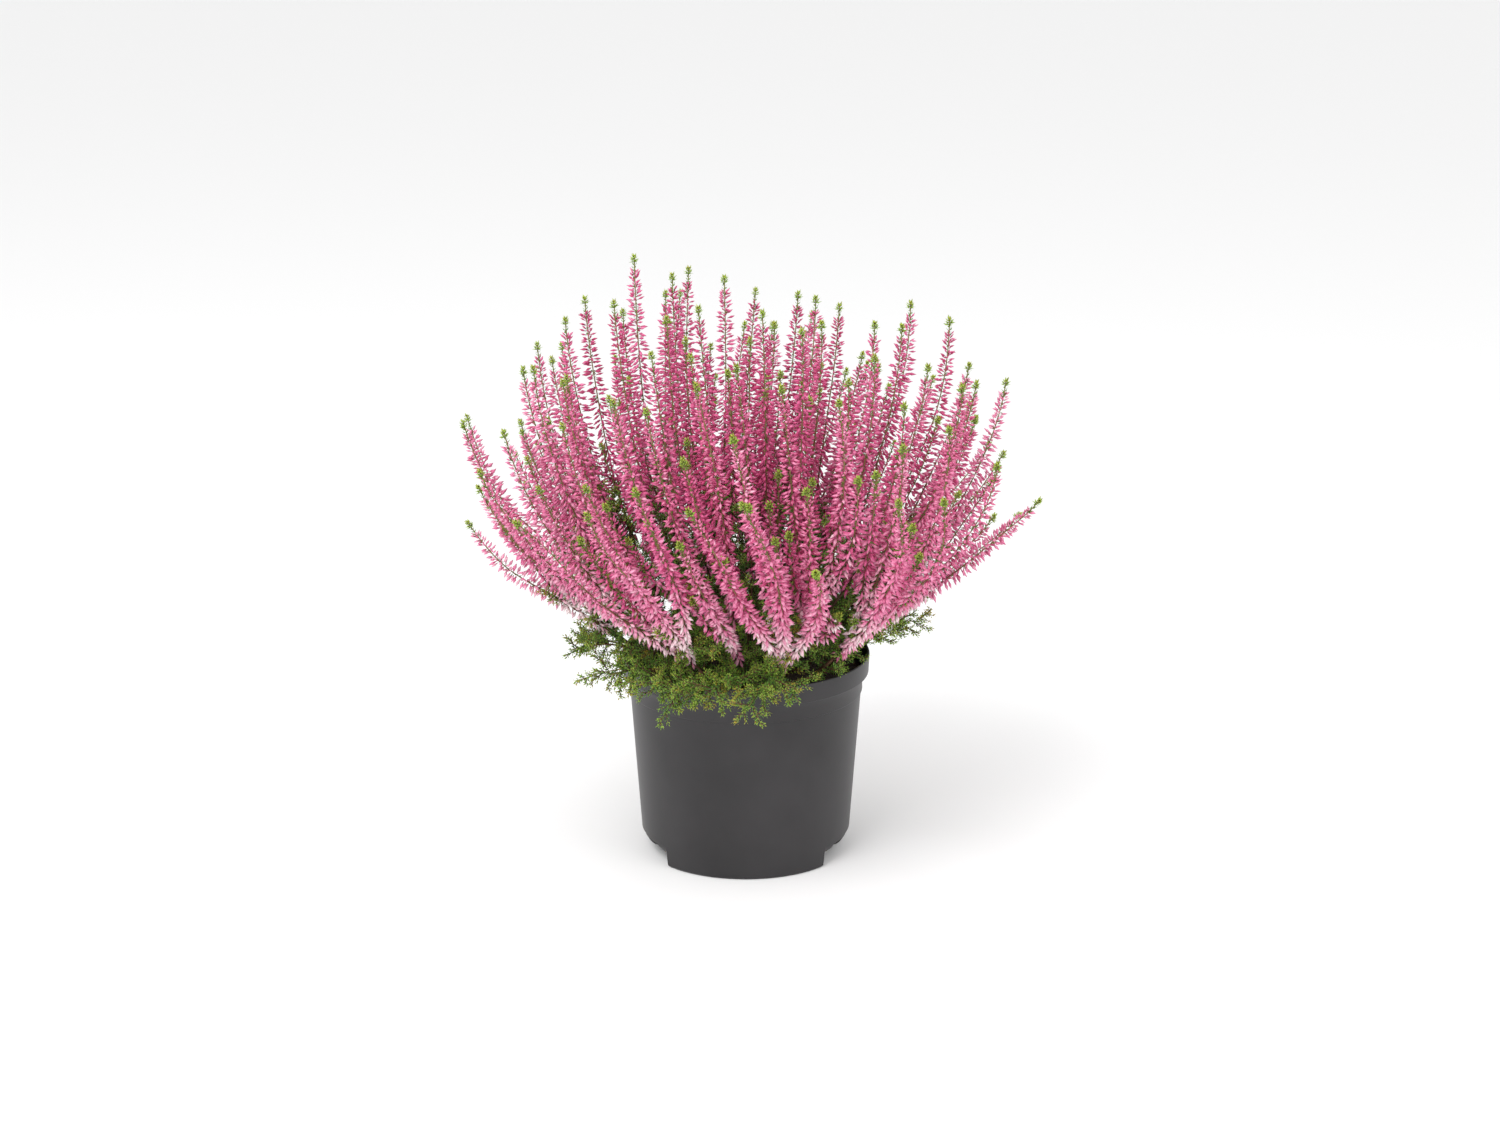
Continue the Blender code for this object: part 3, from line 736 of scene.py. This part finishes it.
def bent_line(start, direction, length, bend):
    """Short curved line from a start in a direction, bent by a vector over its length."""
    shares = np.linspace(0, 1, 7)[:, None]
    return Line(start + direction * length * shares + bend * length * shares ** 2)


def clothe(wood, leaves, line, tone, draw, bare=0.0):
    """A leafy twig: its thin wood and rows of scale leaves up to a budding tip."""
    distances = np.array([line.length, 0.5])
    middles, side, front, _ = line.frames(distances)
    tube(wood, middles, side, front, (TWIG_RADIUS, TWIG_RADIUS / 2), 3)
    pairs = max(3, int((line.length - bare) / LEAF_PITCH))
    number = np.arange(pairs * 2)
    count = len(number)
    distances = (number // 2) * LEAF_PITCH + 0.3
    middles, side, front, along = line.frames(distances)
    turns = (number // 2) * math.tau / 4 + (number % 2) * math.pi
    out = outward(side, front, turns + draw.normal(0, 0.25, count))
    tilts = np.radians(22 + 24 * smooth(0, 3, distances) + draw.normal(0, 8, count))
    lengths = LEAF_LENGTH * (0.75 + 0.25 * smooth(0, 4, distances))
    lengths = lengths * draw.uniform(0.85, 1.15, count)
    young = YOUNG_TONE * (1 - smooth(0, 5, distances))
    tones = tone + young + draw.normal(0, 0.07, count)
    add_leaves(leaves, middles + out * 0.2, out, along, tilts, lengths, tones)


def add_twigs(wood, leaves, line, start, end, reach, draw):
    """Leafy twigs with their own side twigs on a stem, between two distances from its tip."""
    count = max(0, round((end - start) / TWIG_PITCH * reach))
    if not count:
        return
    distances = np.linspace(start, end, count) + draw.uniform(-1.5, 1.5, count)
    middles, side, front, along = line.frames(distances)
    turns = np.arange(count) * GOLDEN_ANGLE + draw.uniform(0, math.tau)
    out = outward(side, front, turns)
    for middle, out_way, up_way in zip(middles, out, along):
        length = draw.uniform(*TWIG_LENGTH) * min(1.0, 0.6 + 0.4 * reach)
        tilt = math.radians(draw.uniform(*TWIG_TILT))
        direction = out_way * math.sin(tilt) + up_way * math.cos(tilt)
        end_of_twig = middle + direction * length
        if np.hypot(end_of_twig[0], end_of_twig[1]) > TWIG_LIMIT:
            length *= TWIG_SHORTENING
        bend = np.array((0, 0, draw.uniform(-0.1, 0.35)))
        add_twig(wood, leaves, bent_line(middle, direction, length, bend), draw)


def add_twig(wood, leaves, twig, draw):
    """A twig with its feathery side twigs, painted lighter and greener where it is further out, as painted
    light on the outer twigs.
    """
    middle = twig.points[0]
    # Lighter, greener tone further out from the middle: painted light
    painted_light_share = smooth(45, 85, np.hypot(middle[0], middle[1]))
    tone = 0.3 + 0.26 * painted_light_share + draw.normal(0, 0.08)
    if draw.random() < BROWN_CHANCE:
        tone = BROWN_TONE
    clothe(wood, leaves, twig, tone, draw)
    pairs = int((twig.length - 2.5) / SIDE_TWIG_PITCH)
    for number in range(pairs):
        distance = SIDE_TWIG_START + number * SIDE_TWIG_PITCH + draw.uniform(-0.4, 0.4)
        middles, side, front, along = twig.frames(np.array([distance]))
        turn = number * SIDE_TWIG_TURN + draw.uniform(-0.3, 0.3)
        out_way = (side * math.cos(turn) + front * math.sin(turn))[0]
        tilt = math.radians(draw.uniform(*SIDE_TWIG_TILT))
        direction = out_way * math.sin(tilt) + along[0] * math.cos(tilt)
        length = draw.uniform(*SIDE_TWIG_LENGTH) * (0.5 + 0.5 * smooth(0, 8, distance))
        side_twig = bent_line(middles[0], direction, length, along[0] * 0.2)
        clothe(wood, leaves, side_twig, tone + draw.normal(0, 0.04), draw)


def arc(centre, radius, start, end, steps):
    """Points on an arc between two angles in degrees."""
    points = []
    for step in range(steps + 1):
        angle = math.radians(start + (end - start) * step / steps)
        points.append((centre[0] + radius * math.cos(angle), centre[1] + radius * math.sin(angle)))
    return points


def pot_profile():
    """Half outline of the pot, from the inner floor up over the rim and down the outside."""
    band_bottom = POT_HEIGHT - BAND_HEIGHT
    neck_bottom = band_bottom - NECK_HEIGHT
    band_radius = RIM_RADIUS - BAND_TAPER
    foot = BASE_RADIUS - FOOT_CORNER
    inside = [
        (0, FLOOR),
        (foot - WALL, FLOOR),
        (BASE_RADIUS - WALL, FOOT_CORNER + FLOOR),
        (NECK_RADIUS - WALL, neck_bottom),
        (band_radius - LIP - WALL, band_bottom),
        (RIM_RADIUS - WALL, band_bottom + LIP + WALL),
    ]
    rim = arc((RIM_RADIUS - WALL / 2, POT_HEIGHT - WALL / 2), WALL / 2, 180, 0, 8)
    band = arc((band_radius - LIP / 2, band_bottom), LIP / 2, 0, -90, 4)
    neck = [(band_radius - LIP, band_bottom - EDGE)]
    middle = neck_bottom + 0.5 * NECK_HEIGHT
    step = [(NECK_RADIUS + EDGE, middle), (NECK_RADIUS + EDGE, neck_bottom)]
    below = arc((NECK_RADIUS, neck_bottom), EDGE, 0, -90, 3)
    corner = arc((foot, FOOT_CORNER), FOOT_CORNER, 0, -90, 6)
    return inside + rim + band + neck + step + below[1:] + corner + [(0, 0)]


def turned(name, profile, steps):
    """Solid of revolution from a half outline whose ends are on the axis."""
    points = [(0, 0, profile[0][1])]
    for across, height in profile[1:-1]:
        for step in range(steps):
            angle = step * math.tau / steps
            points.append((across * math.cos(angle), across * math.sin(angle), height))
    points.append((0, 0, profile[-1][1]))
    faces = []
    rings = len(profile) - 2
    for step in range(steps):
        following = (step + 1) % steps
        faces.append((0, 1 + step, 1 + following))
        for ring in range(rings - 1):
            lower, upper = 1 + ring * steps, 1 + (ring + 1) * steps
            faces.append((lower + step, upper + step, upper + following, lower + following))
        last = 1 + (rings - 1) * steps
        faces.append((last + step, len(points) - 1, last + following))
    return add_object(name, np.array(points), faces)


def block(name, low, high):
    """Block between two corners."""
    corners = list(itertools.product(*zip(low, high)))
    faces = [(0, 1, 3, 2), (4, 6, 7, 5), (0, 4, 5, 1), (2, 3, 7, 6), (0, 2, 6, 4), (1, 5, 7, 3)]
    return add_object(name, np.array(corners), faces)


def add_object(name, points, faces):
    """Object from points in millimetres."""
    mesh = bpy.data.meshes.new(name)
    mesh.from_pydata((points * MM).tolist(), [], faces)
    made = bpy.data.objects.new(name, mesh)
    bpy.context.scene.collection.objects.link(made)
    return made


def across_side(side, near, far):
    """Reach of a block on the left or right side, lower end first."""
    return (near, far) if side > 0 else (-far, -near)


def combine(target, tool, operation):
    """Join a tool to an object, cut it away or keep what is in both; the tool goes."""
    step = target.modifiers.new(tool.name, "BOOLEAN")
    step.operation = operation
    step.object = tool
    step.solver = "EXACT"
    graph = bpy.context.evaluated_depsgraph_get()
    mesh = bpy.data.meshes.new_from_object(target.evaluated_get(graph))
    target.modifiers.clear()
    target.data = mesh
    bpy.data.objects.remove(tool)


def foot_bay(name, side, grow):
    """Room of a foot bay under the rounded body, grown by so much on its inner faces."""
    across = across_side(side, BAY_INNER - grow, BASE_RADIUS + CUT_PAST)
    half = BAY_HALF_WIDTH + grow
    top = BAY_HEIGHT + BODY_CORNER + grow
    bay = block(name, (across[0], -half, -CUT_PAST), (across[1], half, top))
    middle = (BASE_RADIUS - BODY_CORNER, BAY_HEIGHT + BODY_CORNER)
    round_edge = arc(middle, BODY_CORNER - grow, 0, -90, 10)
    top += CUT_PAST
    core = [(0, top), (round_edge[0][0], top)] + round_edge + [(0, BAY_HEIGHT + grow)]
    combine(bay, turned(name + "_core", core, POT_STEPS), "DIFFERENCE")
    return bay


def make_pot(material):
    """The turned pot with its two foot bays, their lining and drain slots."""
    pot = turned("pot_fine", pot_profile(), POT_STEPS)
    top = BAY_HEIGHT + BODY_CORNER + 2 * WALL
    foot = [
        (0, top),
        (BASE_RADIUS - WALL / 2, top),
        (BASE_RADIUS - WALL / 2, FOOT_CORNER),
        (BASE_RADIUS - FOOT_CORNER, WALL / 2),
        (0, WALL / 2),
    ]
    for side in (-1, 1):
        lining = foot_bay(f"bay_lining_{side}", side, WALL)
        combine(lining, turned(f"foot_core_{side}", foot, POT_STEPS), "INTERSECT")
        combine(pot, lining, "UNION")
        combine(pot, foot_bay(f"bay_{side}", side, 0), "DIFFERENCE")
        across = across_side(side, SLOT_INNER, BASE_RADIUS + CUT_PAST)
        half = SLOT_WIDTH / 2
        for along in (-SLOT_FROM_MIDDLE, SLOT_FROM_MIDDLE):
            low = (across[0], along - half, BAY_HEIGHT - 1)
            slot = block(f"slot_{side}_{along:.0f}", low, (across[1], along + half, SLOT_HEIGHT))
            combine(pot, slot, "DIFFERENCE")
    pot.data.materials.clear()
    pot.data.materials.append(material)
    pot.data.shade_smooth()
    pot.data.set_sharp_from_angle(angle=math.radians(32))
    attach(pot, "root")
    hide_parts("pot")


def lump_form():
    """Crumb of eight faces with a radius of one."""
    points = [(1, 0, 0), (0, 1, 0), (-1, 0, 0), (0, -1, 0), (0, 0, 1), (0, 0, -1)]
    faces = [(0, 1, 4), (1, 2, 4), (2, 3, 4), (3, 0, 4), (1, 0, 5), (2, 1, 5), (3, 2, 5), (0, 3, 5)]
    return Form(np.array(points, float), np.array(faces), np.zeros(6))


def make_crumbs(material):
    """Loose crumbs of peat over the soil."""
    draw = np.random.default_rng(7)
    bunch = Bunch()
    reach = CRUMB_REACH * np.sqrt(draw.random(CRUMB_COUNT))
    angle = draw.uniform(0, math.tau, CRUMB_COUNT)
    height = SOIL_TOP + SOIL_CROWN * (1 - reach / ROOT_REACH)
    height -= 0.12 * np.maximum(reach - ROOT_REACH, 0)
    middles = np.stack([reach * np.cos(angle), reach * np.sin(angle), height], axis=-1)
    radius = draw.uniform(*CRUMB_RADIUS, (CRUMB_COUNT, 3))
    axes = unit(draw.normal(size=(CRUMB_COUNT, 3)))
    side = unit(np.cross(axes, draw.normal(size=(CRUMB_COUNT, 3))))
    front = np.cross(axes, side)
    bunch.add(
        lump_form(), middles, side * radius[:, :1], front * radius[:, 1:2], axes * radius[:, 2:],
        draw.random(CRUMB_COUNT),
    )
    bunch.make("soil_crumbs", material, "peat")


def make_roots(material):
    """Fine roots that lie against the roof of each bay and in its drain slots."""
    draw = np.random.default_rng(8)
    bunch = Bunch()
    for side in (-1, 1):
        for number in range(ROOT_COUNT):
            along = SLOT_FROM_MIDDLE * (1 if number % 2 else -1) + draw.uniform(-4, 4)
            start = np.array((side * draw.uniform(*ROOT_START), along, SLOT_HEIGHT - 2))
            way = unit(np.array((side * draw.uniform(-1, 0.3), draw.uniform(-1, 1), -0.25)))
            bend = np.array((0, draw.uniform(-0.4, 0.4), 0.1))
            line = bent_line(start, way, draw.uniform(*ROOT_LENGTH), bend)
            middles, across, front, _ = line.frames(np.linspace(line.length, 0.2, ROOT_RINGS))
            thickness = draw.uniform(*ROOT_THICKNESS)
            radii = np.linspace(thickness, 0.4 * thickness, ROOT_RINGS)
            tube(bunch, middles, across, front, radii, 5, draw.random())
    bunch.make("foot_roots", material, "peat")


def new_material(name, roughness):
    """Material with its shader, tree and links."""
    material = bpy.data.materials.new(name)
    material.use_nodes = True
    shader = material.node_tree.nodes["Principled BSDF"]
    shader.inputs["Roughness"].default_value = roughness
    return material, shader, material.node_tree


def add_node(tree, kind, values=(), **settings):
    """Node with its settings, and values for its named or numbered inputs."""
    node = tree.nodes.new(kind)
    for setting, value in settings.items():
        setattr(node, setting, value)
    for socket, value in dict(values).items():
        if isinstance(value, bpy.types.NodeSocket):
            tree.links.new(value, node.inputs[socket])
        else:
            node.inputs[socket].default_value = value
    return node


def ramp(tree, factor, stops):
    """Colour ramp through (position, colour) stops."""
    node = tree.nodes.new("ShaderNodeValToRGB")
    tree.links.new(factor, node.inputs[0])
    elements = node.color_ramp.elements
    while len(elements) < len(stops):
        elements.new(0.5)
    for element, (position, colour) in zip(elements, stops):
        element.position = position
        element.color = (*colour, 1.0)
    return node.outputs["Color"]


def attribute(tree, name):
    """Number that each point of a piece carries under this name."""
    return add_node(tree, "ShaderNodeAttribute", attribute_name=name).outputs["Fac"]


def noise(tree, scale, detail=3.0):
    """Noise over the object's own space, with features one over scale metres wide."""
    place = add_node(tree, "ShaderNodeTexCoord").outputs["Object"]
    values = {"Vector": place, "Scale": scale, "Detail": detail}
    return add_node(tree, "ShaderNodeTexNoise", values).outputs[0]


def math_node(tree, operation, first, second):
    """Result of a sum on two numbers or sockets."""
    return add_node(tree, "ShaderNodeMath", {0: first, 1: second}, operation=operation).outputs[0]


def mixed(tree, factor, first, second, blend="MIX"):
    """Two colours mixed by a factor."""
    node = add_node(tree, "ShaderNodeMix", data_type="RGBA", blend_type=blend)
    for number, value in ((0, factor), (6, first), (7, second)):
        if isinstance(value, bpy.types.NodeSocket):
            tree.links.new(value, node.inputs[number])
        else:
            node.inputs[number].default_value = value
    return node.outputs[2]


def add_bump(tree, shader, height, distance, strength):
    """Low relief of a surface from a noise."""
    bump = add_node(tree, "ShaderNodeBump", {"Height": height, "Distance": distance, "Strength": strength})
    tree.links.new(bump.outputs[0], shader.inputs["Normal"])


def bud_material():
    """Pink sepals: paler buds carry a higher tone; the grooves get pale streaks as painted highlights, and
    stalks are green-brown.
    """
    material, shader, tree = new_material("heather_bud", 0.5)
    grain = noise(tree, 900.0)
    shift = math_node(tree, "MULTIPLY", math_node(tree, "SUBTRACT", grain, 0.5), 0.5)
    tone = math_node(tree, "ADD", attribute(tree, "tone"), shift)
    pink = ramp(tree, tone, (
        (0.0, (0.47, 0.035, 0.14)),
        (0.3, (0.68, 0.12, 0.29)),
        (0.5, (0.80, 0.25, 0.43)),
        (0.75, (0.87, 0.50, 0.60)),
        (1.0, (0.93, 0.80, 0.80)),
    ))
    mark = attribute(tree, "mark")
    # Pale streaks in the grooves of each bud: painted highlights
    groove = add_node(tree, "ShaderNodeMapRange", {0: mark, 1: 1.2, 2: 2.6}).outputs[0]
    painted_highlight = math_node(tree, "MULTIPLY", groove, 0.45)
    petal = mixed(tree, painted_highlight, pink, (0.95, 0.66, 0.74, 1))
    stalk = ramp(tree, mark, ((0.1, (1, 1, 1)), (0.3, (0, 0, 0))))
    colour = mixed(tree, stalk, petal, (0.19, 0.13, 0.04, 1))
    tree.links.new(colour, shader.inputs["Base Color"])
    return material


def leaf_material():
    """Scale leaves from dark green over mid green and bright yellow-green to orange-brown."""
    material, shader, tree = new_material("heather_leaf", 0.5)
    grain = noise(tree, 600.0)
    shift = math_node(tree, "MULTIPLY", math_node(tree, "SUBTRACT", grain, 0.5), 0.3)
    tone = math_node(tree, "ADD", attribute(tree, "tone"), shift)
    green = ramp(tree, tone, (
        (0.0, (0.040, 0.085, 0.014)),
        (0.3, (0.090, 0.200, 0.024)),
        (0.55, (0.170, 0.350, 0.036)),
        (0.8, (0.400, 0.580, 0.070)),
        (0.95, (0.520, 0.400, 0.050)),
    ))
    tree.links.new(green, shader.inputs["Base Color"])
    return material


def wood_material():
    """Thin bark, brown at the foot and olive green towards the tip, with streaks."""
    material, shader, tree = new_material("heather_wood", 0.75)
    grain = noise(tree, 700.0, 5.0)
    up = math_node(tree, "ADD", attribute(tree, "mark"), math_node(tree, "MULTIPLY", grain, 0.3))
    bark = ramp(tree, up, (
        (0.1, (0.055, 0.028, 0.014)),
        (0.6, (0.17, 0.075, 0.035)),
        (1.0, (0.22, 0.19, 0.06)),
    ))
    tree.links.new(bark, shader.inputs["Base Color"])
    add_bump(tree, shader, grain, 0.0003, 0.6)
    return material


def plastic_material():
    """Dark grey satin plastic with faint scuffs and dust."""
    material, shader, tree = new_material("dark_plastic", 0.42)
    shader.inputs["Specular IOR Level"].default_value = 0.45
    broad = noise(tree, 22.0, 6.0)
    fine = noise(tree, 1400.0, 2.0)
    colour = ramp(tree, broad, (
        (0.3, (0.011, 0.010, 0.011)),
        (0.7, (0.026, 0.024, 0.026)),
    ))
    tree.links.new(colour, shader.inputs["Base Color"])
    roughness = add_node(tree, "ShaderNodeMapRange", {0: broad, 3: 0.34, 4: 0.5}).outputs[0]
    tree.links.new(roughness, shader.inputs["Roughness"])
    add_bump(tree, shader, fine, 0.00005, 0.5)
    return material


def peat_material():
    """Damp dark crumbs with a few paler fibres."""
    material, shader, tree = new_material("peat", 0.95)
    grain = noise(tree, 420.0, 8.0)
    colour = ramp(tree, grain, (
        (0.35, (0.012, 0.007, 0.004)),
        (0.6, (0.040, 0.022, 0.012)),
        (0.75, (0.10, 0.050, 0.024)),
    ))
    tree.links.new(colour, shader.inputs["Base Color"])
    add_bump(tree, shader, grain, 0.002, 1.0)
    return material


def root_material():
    """Fine roots, pale to reddish brown."""
    material, shader, tree = new_material("roots", 0.7)
    colour = ramp(tree, attribute(tree, "tone"), (
        (0.2, (0.14, 0.05, 0.035)),
        (0.6, (0.30, 0.15, 0.08)),
        (0.95, (0.75, 0.68, 0.45)),
    ))
    tree.links.new(colour, shader.inputs["Base Color"])
    return material


def fill_spikes(group, draw):
    """Lower spikes beside the main ones of a spray, each with its parent and its own fork."""
    found = []
    for parent in group:
        chance, angle, away, share, own_fork = draw.random(5)
        if chance > FILL_SPIKE_CHANCE:
            continue
        angle *= math.tau
        away = between(FILL_SPIKE_AWAY, away)
        place = parent.place + Vector((math.cos(angle), math.sin(angle))) * away
        if place.length > FILL_SPIKE_INSIDE:
            place *= FILL_SPIKE_INSIDE / place.length
        share = parent.share * between(FILL_SPIKE_SHARE, share)
        own_fork = between(FILL_SPIKE_FORK, own_fork)
        spike = Spike(place, share, parent.flowers * (0.5 + 0.3 * share), parent.phase + 2)
        found.append((spike, parent, own_fork))
    return found


def dress_spray(name, root, group, planned, materials):
    """The wood, leaves and buds of one spray in place of its solid."""
    draw = np.random.default_rng(int(name[-2:]))
    wood, leaves, buds = Bunch(), Bunch(), Bunch()
    group = sorted(group, key=lambda spike: (spike.place - root).length)
    forks = [planned.uniform(*FORK_SHARE) for _ in group]
    forks_of = {id(spike): fork for spike, fork in zip(group, forks)}
    forks_of[id(group[0])] = max(forks)
    lines = []
    for spike in group:
        fork = forks_of[id(spike)]
        if spike is group[0]:
            line = Line(buried(spike_line(spike, root, fork, 0.0)))
            foot = MAIN_FOOT
            stem(wood, line, STEM_FOOT_RADIUS)
        else:
            line = Line(spike_line(spike, root, fork, fork))
            foot = BRANCH_FOOT
            stem(wood, line, STEM_FOOT_RADIUS * BRANCH_THICKNESS)
        front = smooth(*FRONT_DEPTH, -CROWN_REACH * spike.place.y)
        longest = line.length - foot - CROWN_LENGTH
        spike.flowers = min(spike.flowers * (1 + FRONT_FLOWERS * front), longest)
        lines.append((spike, line))
    for spike, parent, own_fork in fill_spikes(group, draw):
        line = Line(fill_line(spike, parent, root, forks_of[id(parent)], own_fork))
        spike.flowers = min(spike.flowers, line.length - CROWN_LENGTH)
        stem(wood, line, STEM_FOOT_RADIUS * FILL_SPIKE_THICKNESS)
        lines.append((spike, line))
    reach = 0.5 + 1.1 * root.length
    for spike, line in lines:
        form = BUD if spike in group and root.length > OUTER_ROOT else PLAIN_BUD
        add_buds(buds, leaves, line, spike, form, draw)
        add_crown(leaves, line, draw)
        first = CROWN_LENGTH + spike.flowers - TWIGS_IN_FLOWERS
        last = line.length - (HOLE_DEPTH + SPRAY_BARE if line is lines[0][1] else 2)
        if last > first:
            add_twigs(wood, leaves, line, first, last, reach, draw)
    wood.make(f"{name}_wood", materials["wood"], "leafy_stem", name)
    leaves.make(f"{name}_leaves", materials["leaf"], "leafy_stem", name)
    buds.make(f"{name}_buds", materials["bud"], "flower_spray", name)


def dress_shoot(name, angle, planned, materials):
    """The wood and leaves of one leafy shoot in place of its solid."""
    draw = np.random.default_rng(100 + int(name[-2:]))
    wood, leaves = Bunch(), Bunch()
    for turn in SHOOT_TURNS:
        reach = planned.uniform(*SHOOT_REACH)
        height = planned.uniform(*SHOOT_TIP_HEIGHT)
        points = shoot_line(angle, turn, reach, height)
        line = Line(points[SHOOT_FORK_STEP:] if turn else buried(points))
        stem(wood, line, SHOOT_RADIUS)
        bare = HOLE_DEPTH + SHOOT_BARE
        clothe(Bunch(), leaves, line, 0.32, draw, bare)
        add_twigs(wood, leaves, line, 3.0, line.length - bare, SHOOT_TWIGS, draw)
    wood.make(f"{name}_wood", materials["wood"], "leafy_stem", name)
    leaves.make(f"{name}_leaves", materials["leaf"], "leafy_stem", name)


def add_floor():
    """Plain pale ground."""
    bpy.ops.mesh.primitive_plane_add(size=FLOOR_SIZE, location=(0, 0, 0))
    floor = bpy.context.object
    floor.name = "floor"
    material, shader, _ = new_material("pale_floor", 0.9)
    shader.inputs["Base Color"].default_value = (FLOOR_GREY, FLOOR_GREY, FLOOR_GREY, 1)
    floor.data.materials.append(material)


def add_area_light(name, place, power):
    """Soft square lamp that faces the plant."""
    data = bpy.data.lights.new(name, "AREA")
    data.size = LAMP_SIZE
    data.energy = power
    lamp = bpy.data.objects.new(name, data)
    lamp.location = place
    way = Vector(LAMP_AIM) - Vector(place)
    lamp.rotation_euler = way.to_track_quat("-Z", "Y").to_euler()
    bpy.context.scene.collection.objects.link(lamp)


def add_light():
    """Pale studio: an even white surround with a soft lamp on each side in front."""
    world = bpy.data.worlds.new("studio")
    world.use_nodes = True
    background = world.node_tree.nodes["Background"]
    background.inputs["Color"].default_value = (1, 1, 1, 1)
    background.inputs["Strength"].default_value = 1.0
    bpy.context.scene.world = world
    add_area_light("key", KEY_PLACE, KEY_POWER)
    add_area_light("fill", FILL_PLACE, FILL_POWER)


def add_camera():
    """Camera at the photograph's place: a long lens a little above the plant."""
    data = bpy.data.cameras.new("camera")
    data.sensor_width = SENSOR_WIDTH
    data.lens = LENS
    camera = bpy.data.objects.new("camera", data)
    camera.location = CAMERA_PLACE * MM
    way = (CAMERA_AIM - CAMERA_PLACE) * MM
    camera.rotation_euler = way.to_track_quat("-Z", "Y").to_euler()
    bpy.context.scene.collection.objects.link(camera)
    bpy.context.scene.camera = camera


def main():
    materials = {"bud": bud_material(), "leaf": leaf_material(), "wood": wood_material()}
    planned = random.Random(11)
    sprays = group_spikes(plan_spikes(planned))
    for number, (root, group) in enumerate(sprays, 1):
        dress_spray(f"spray_{number:02d}", root, group, planned, materials)
    for number, angle in enumerate(gaps_between(sprays), 1):
        dress_shoot(f"leafy_shoot_{number:02d}", angle, planned, materials)
    make_pot(plastic_material())
    peat = peat_material()
    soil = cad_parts["soil"]
    soil.data.materials.clear()
    soil.data.materials.append(peat)
    make_crumbs(peat)
    make_roots(root_material())
    add_floor()
    add_light()
    add_camera()
    bpy.context.scene.view_settings.view_transform = "Standard"


main()
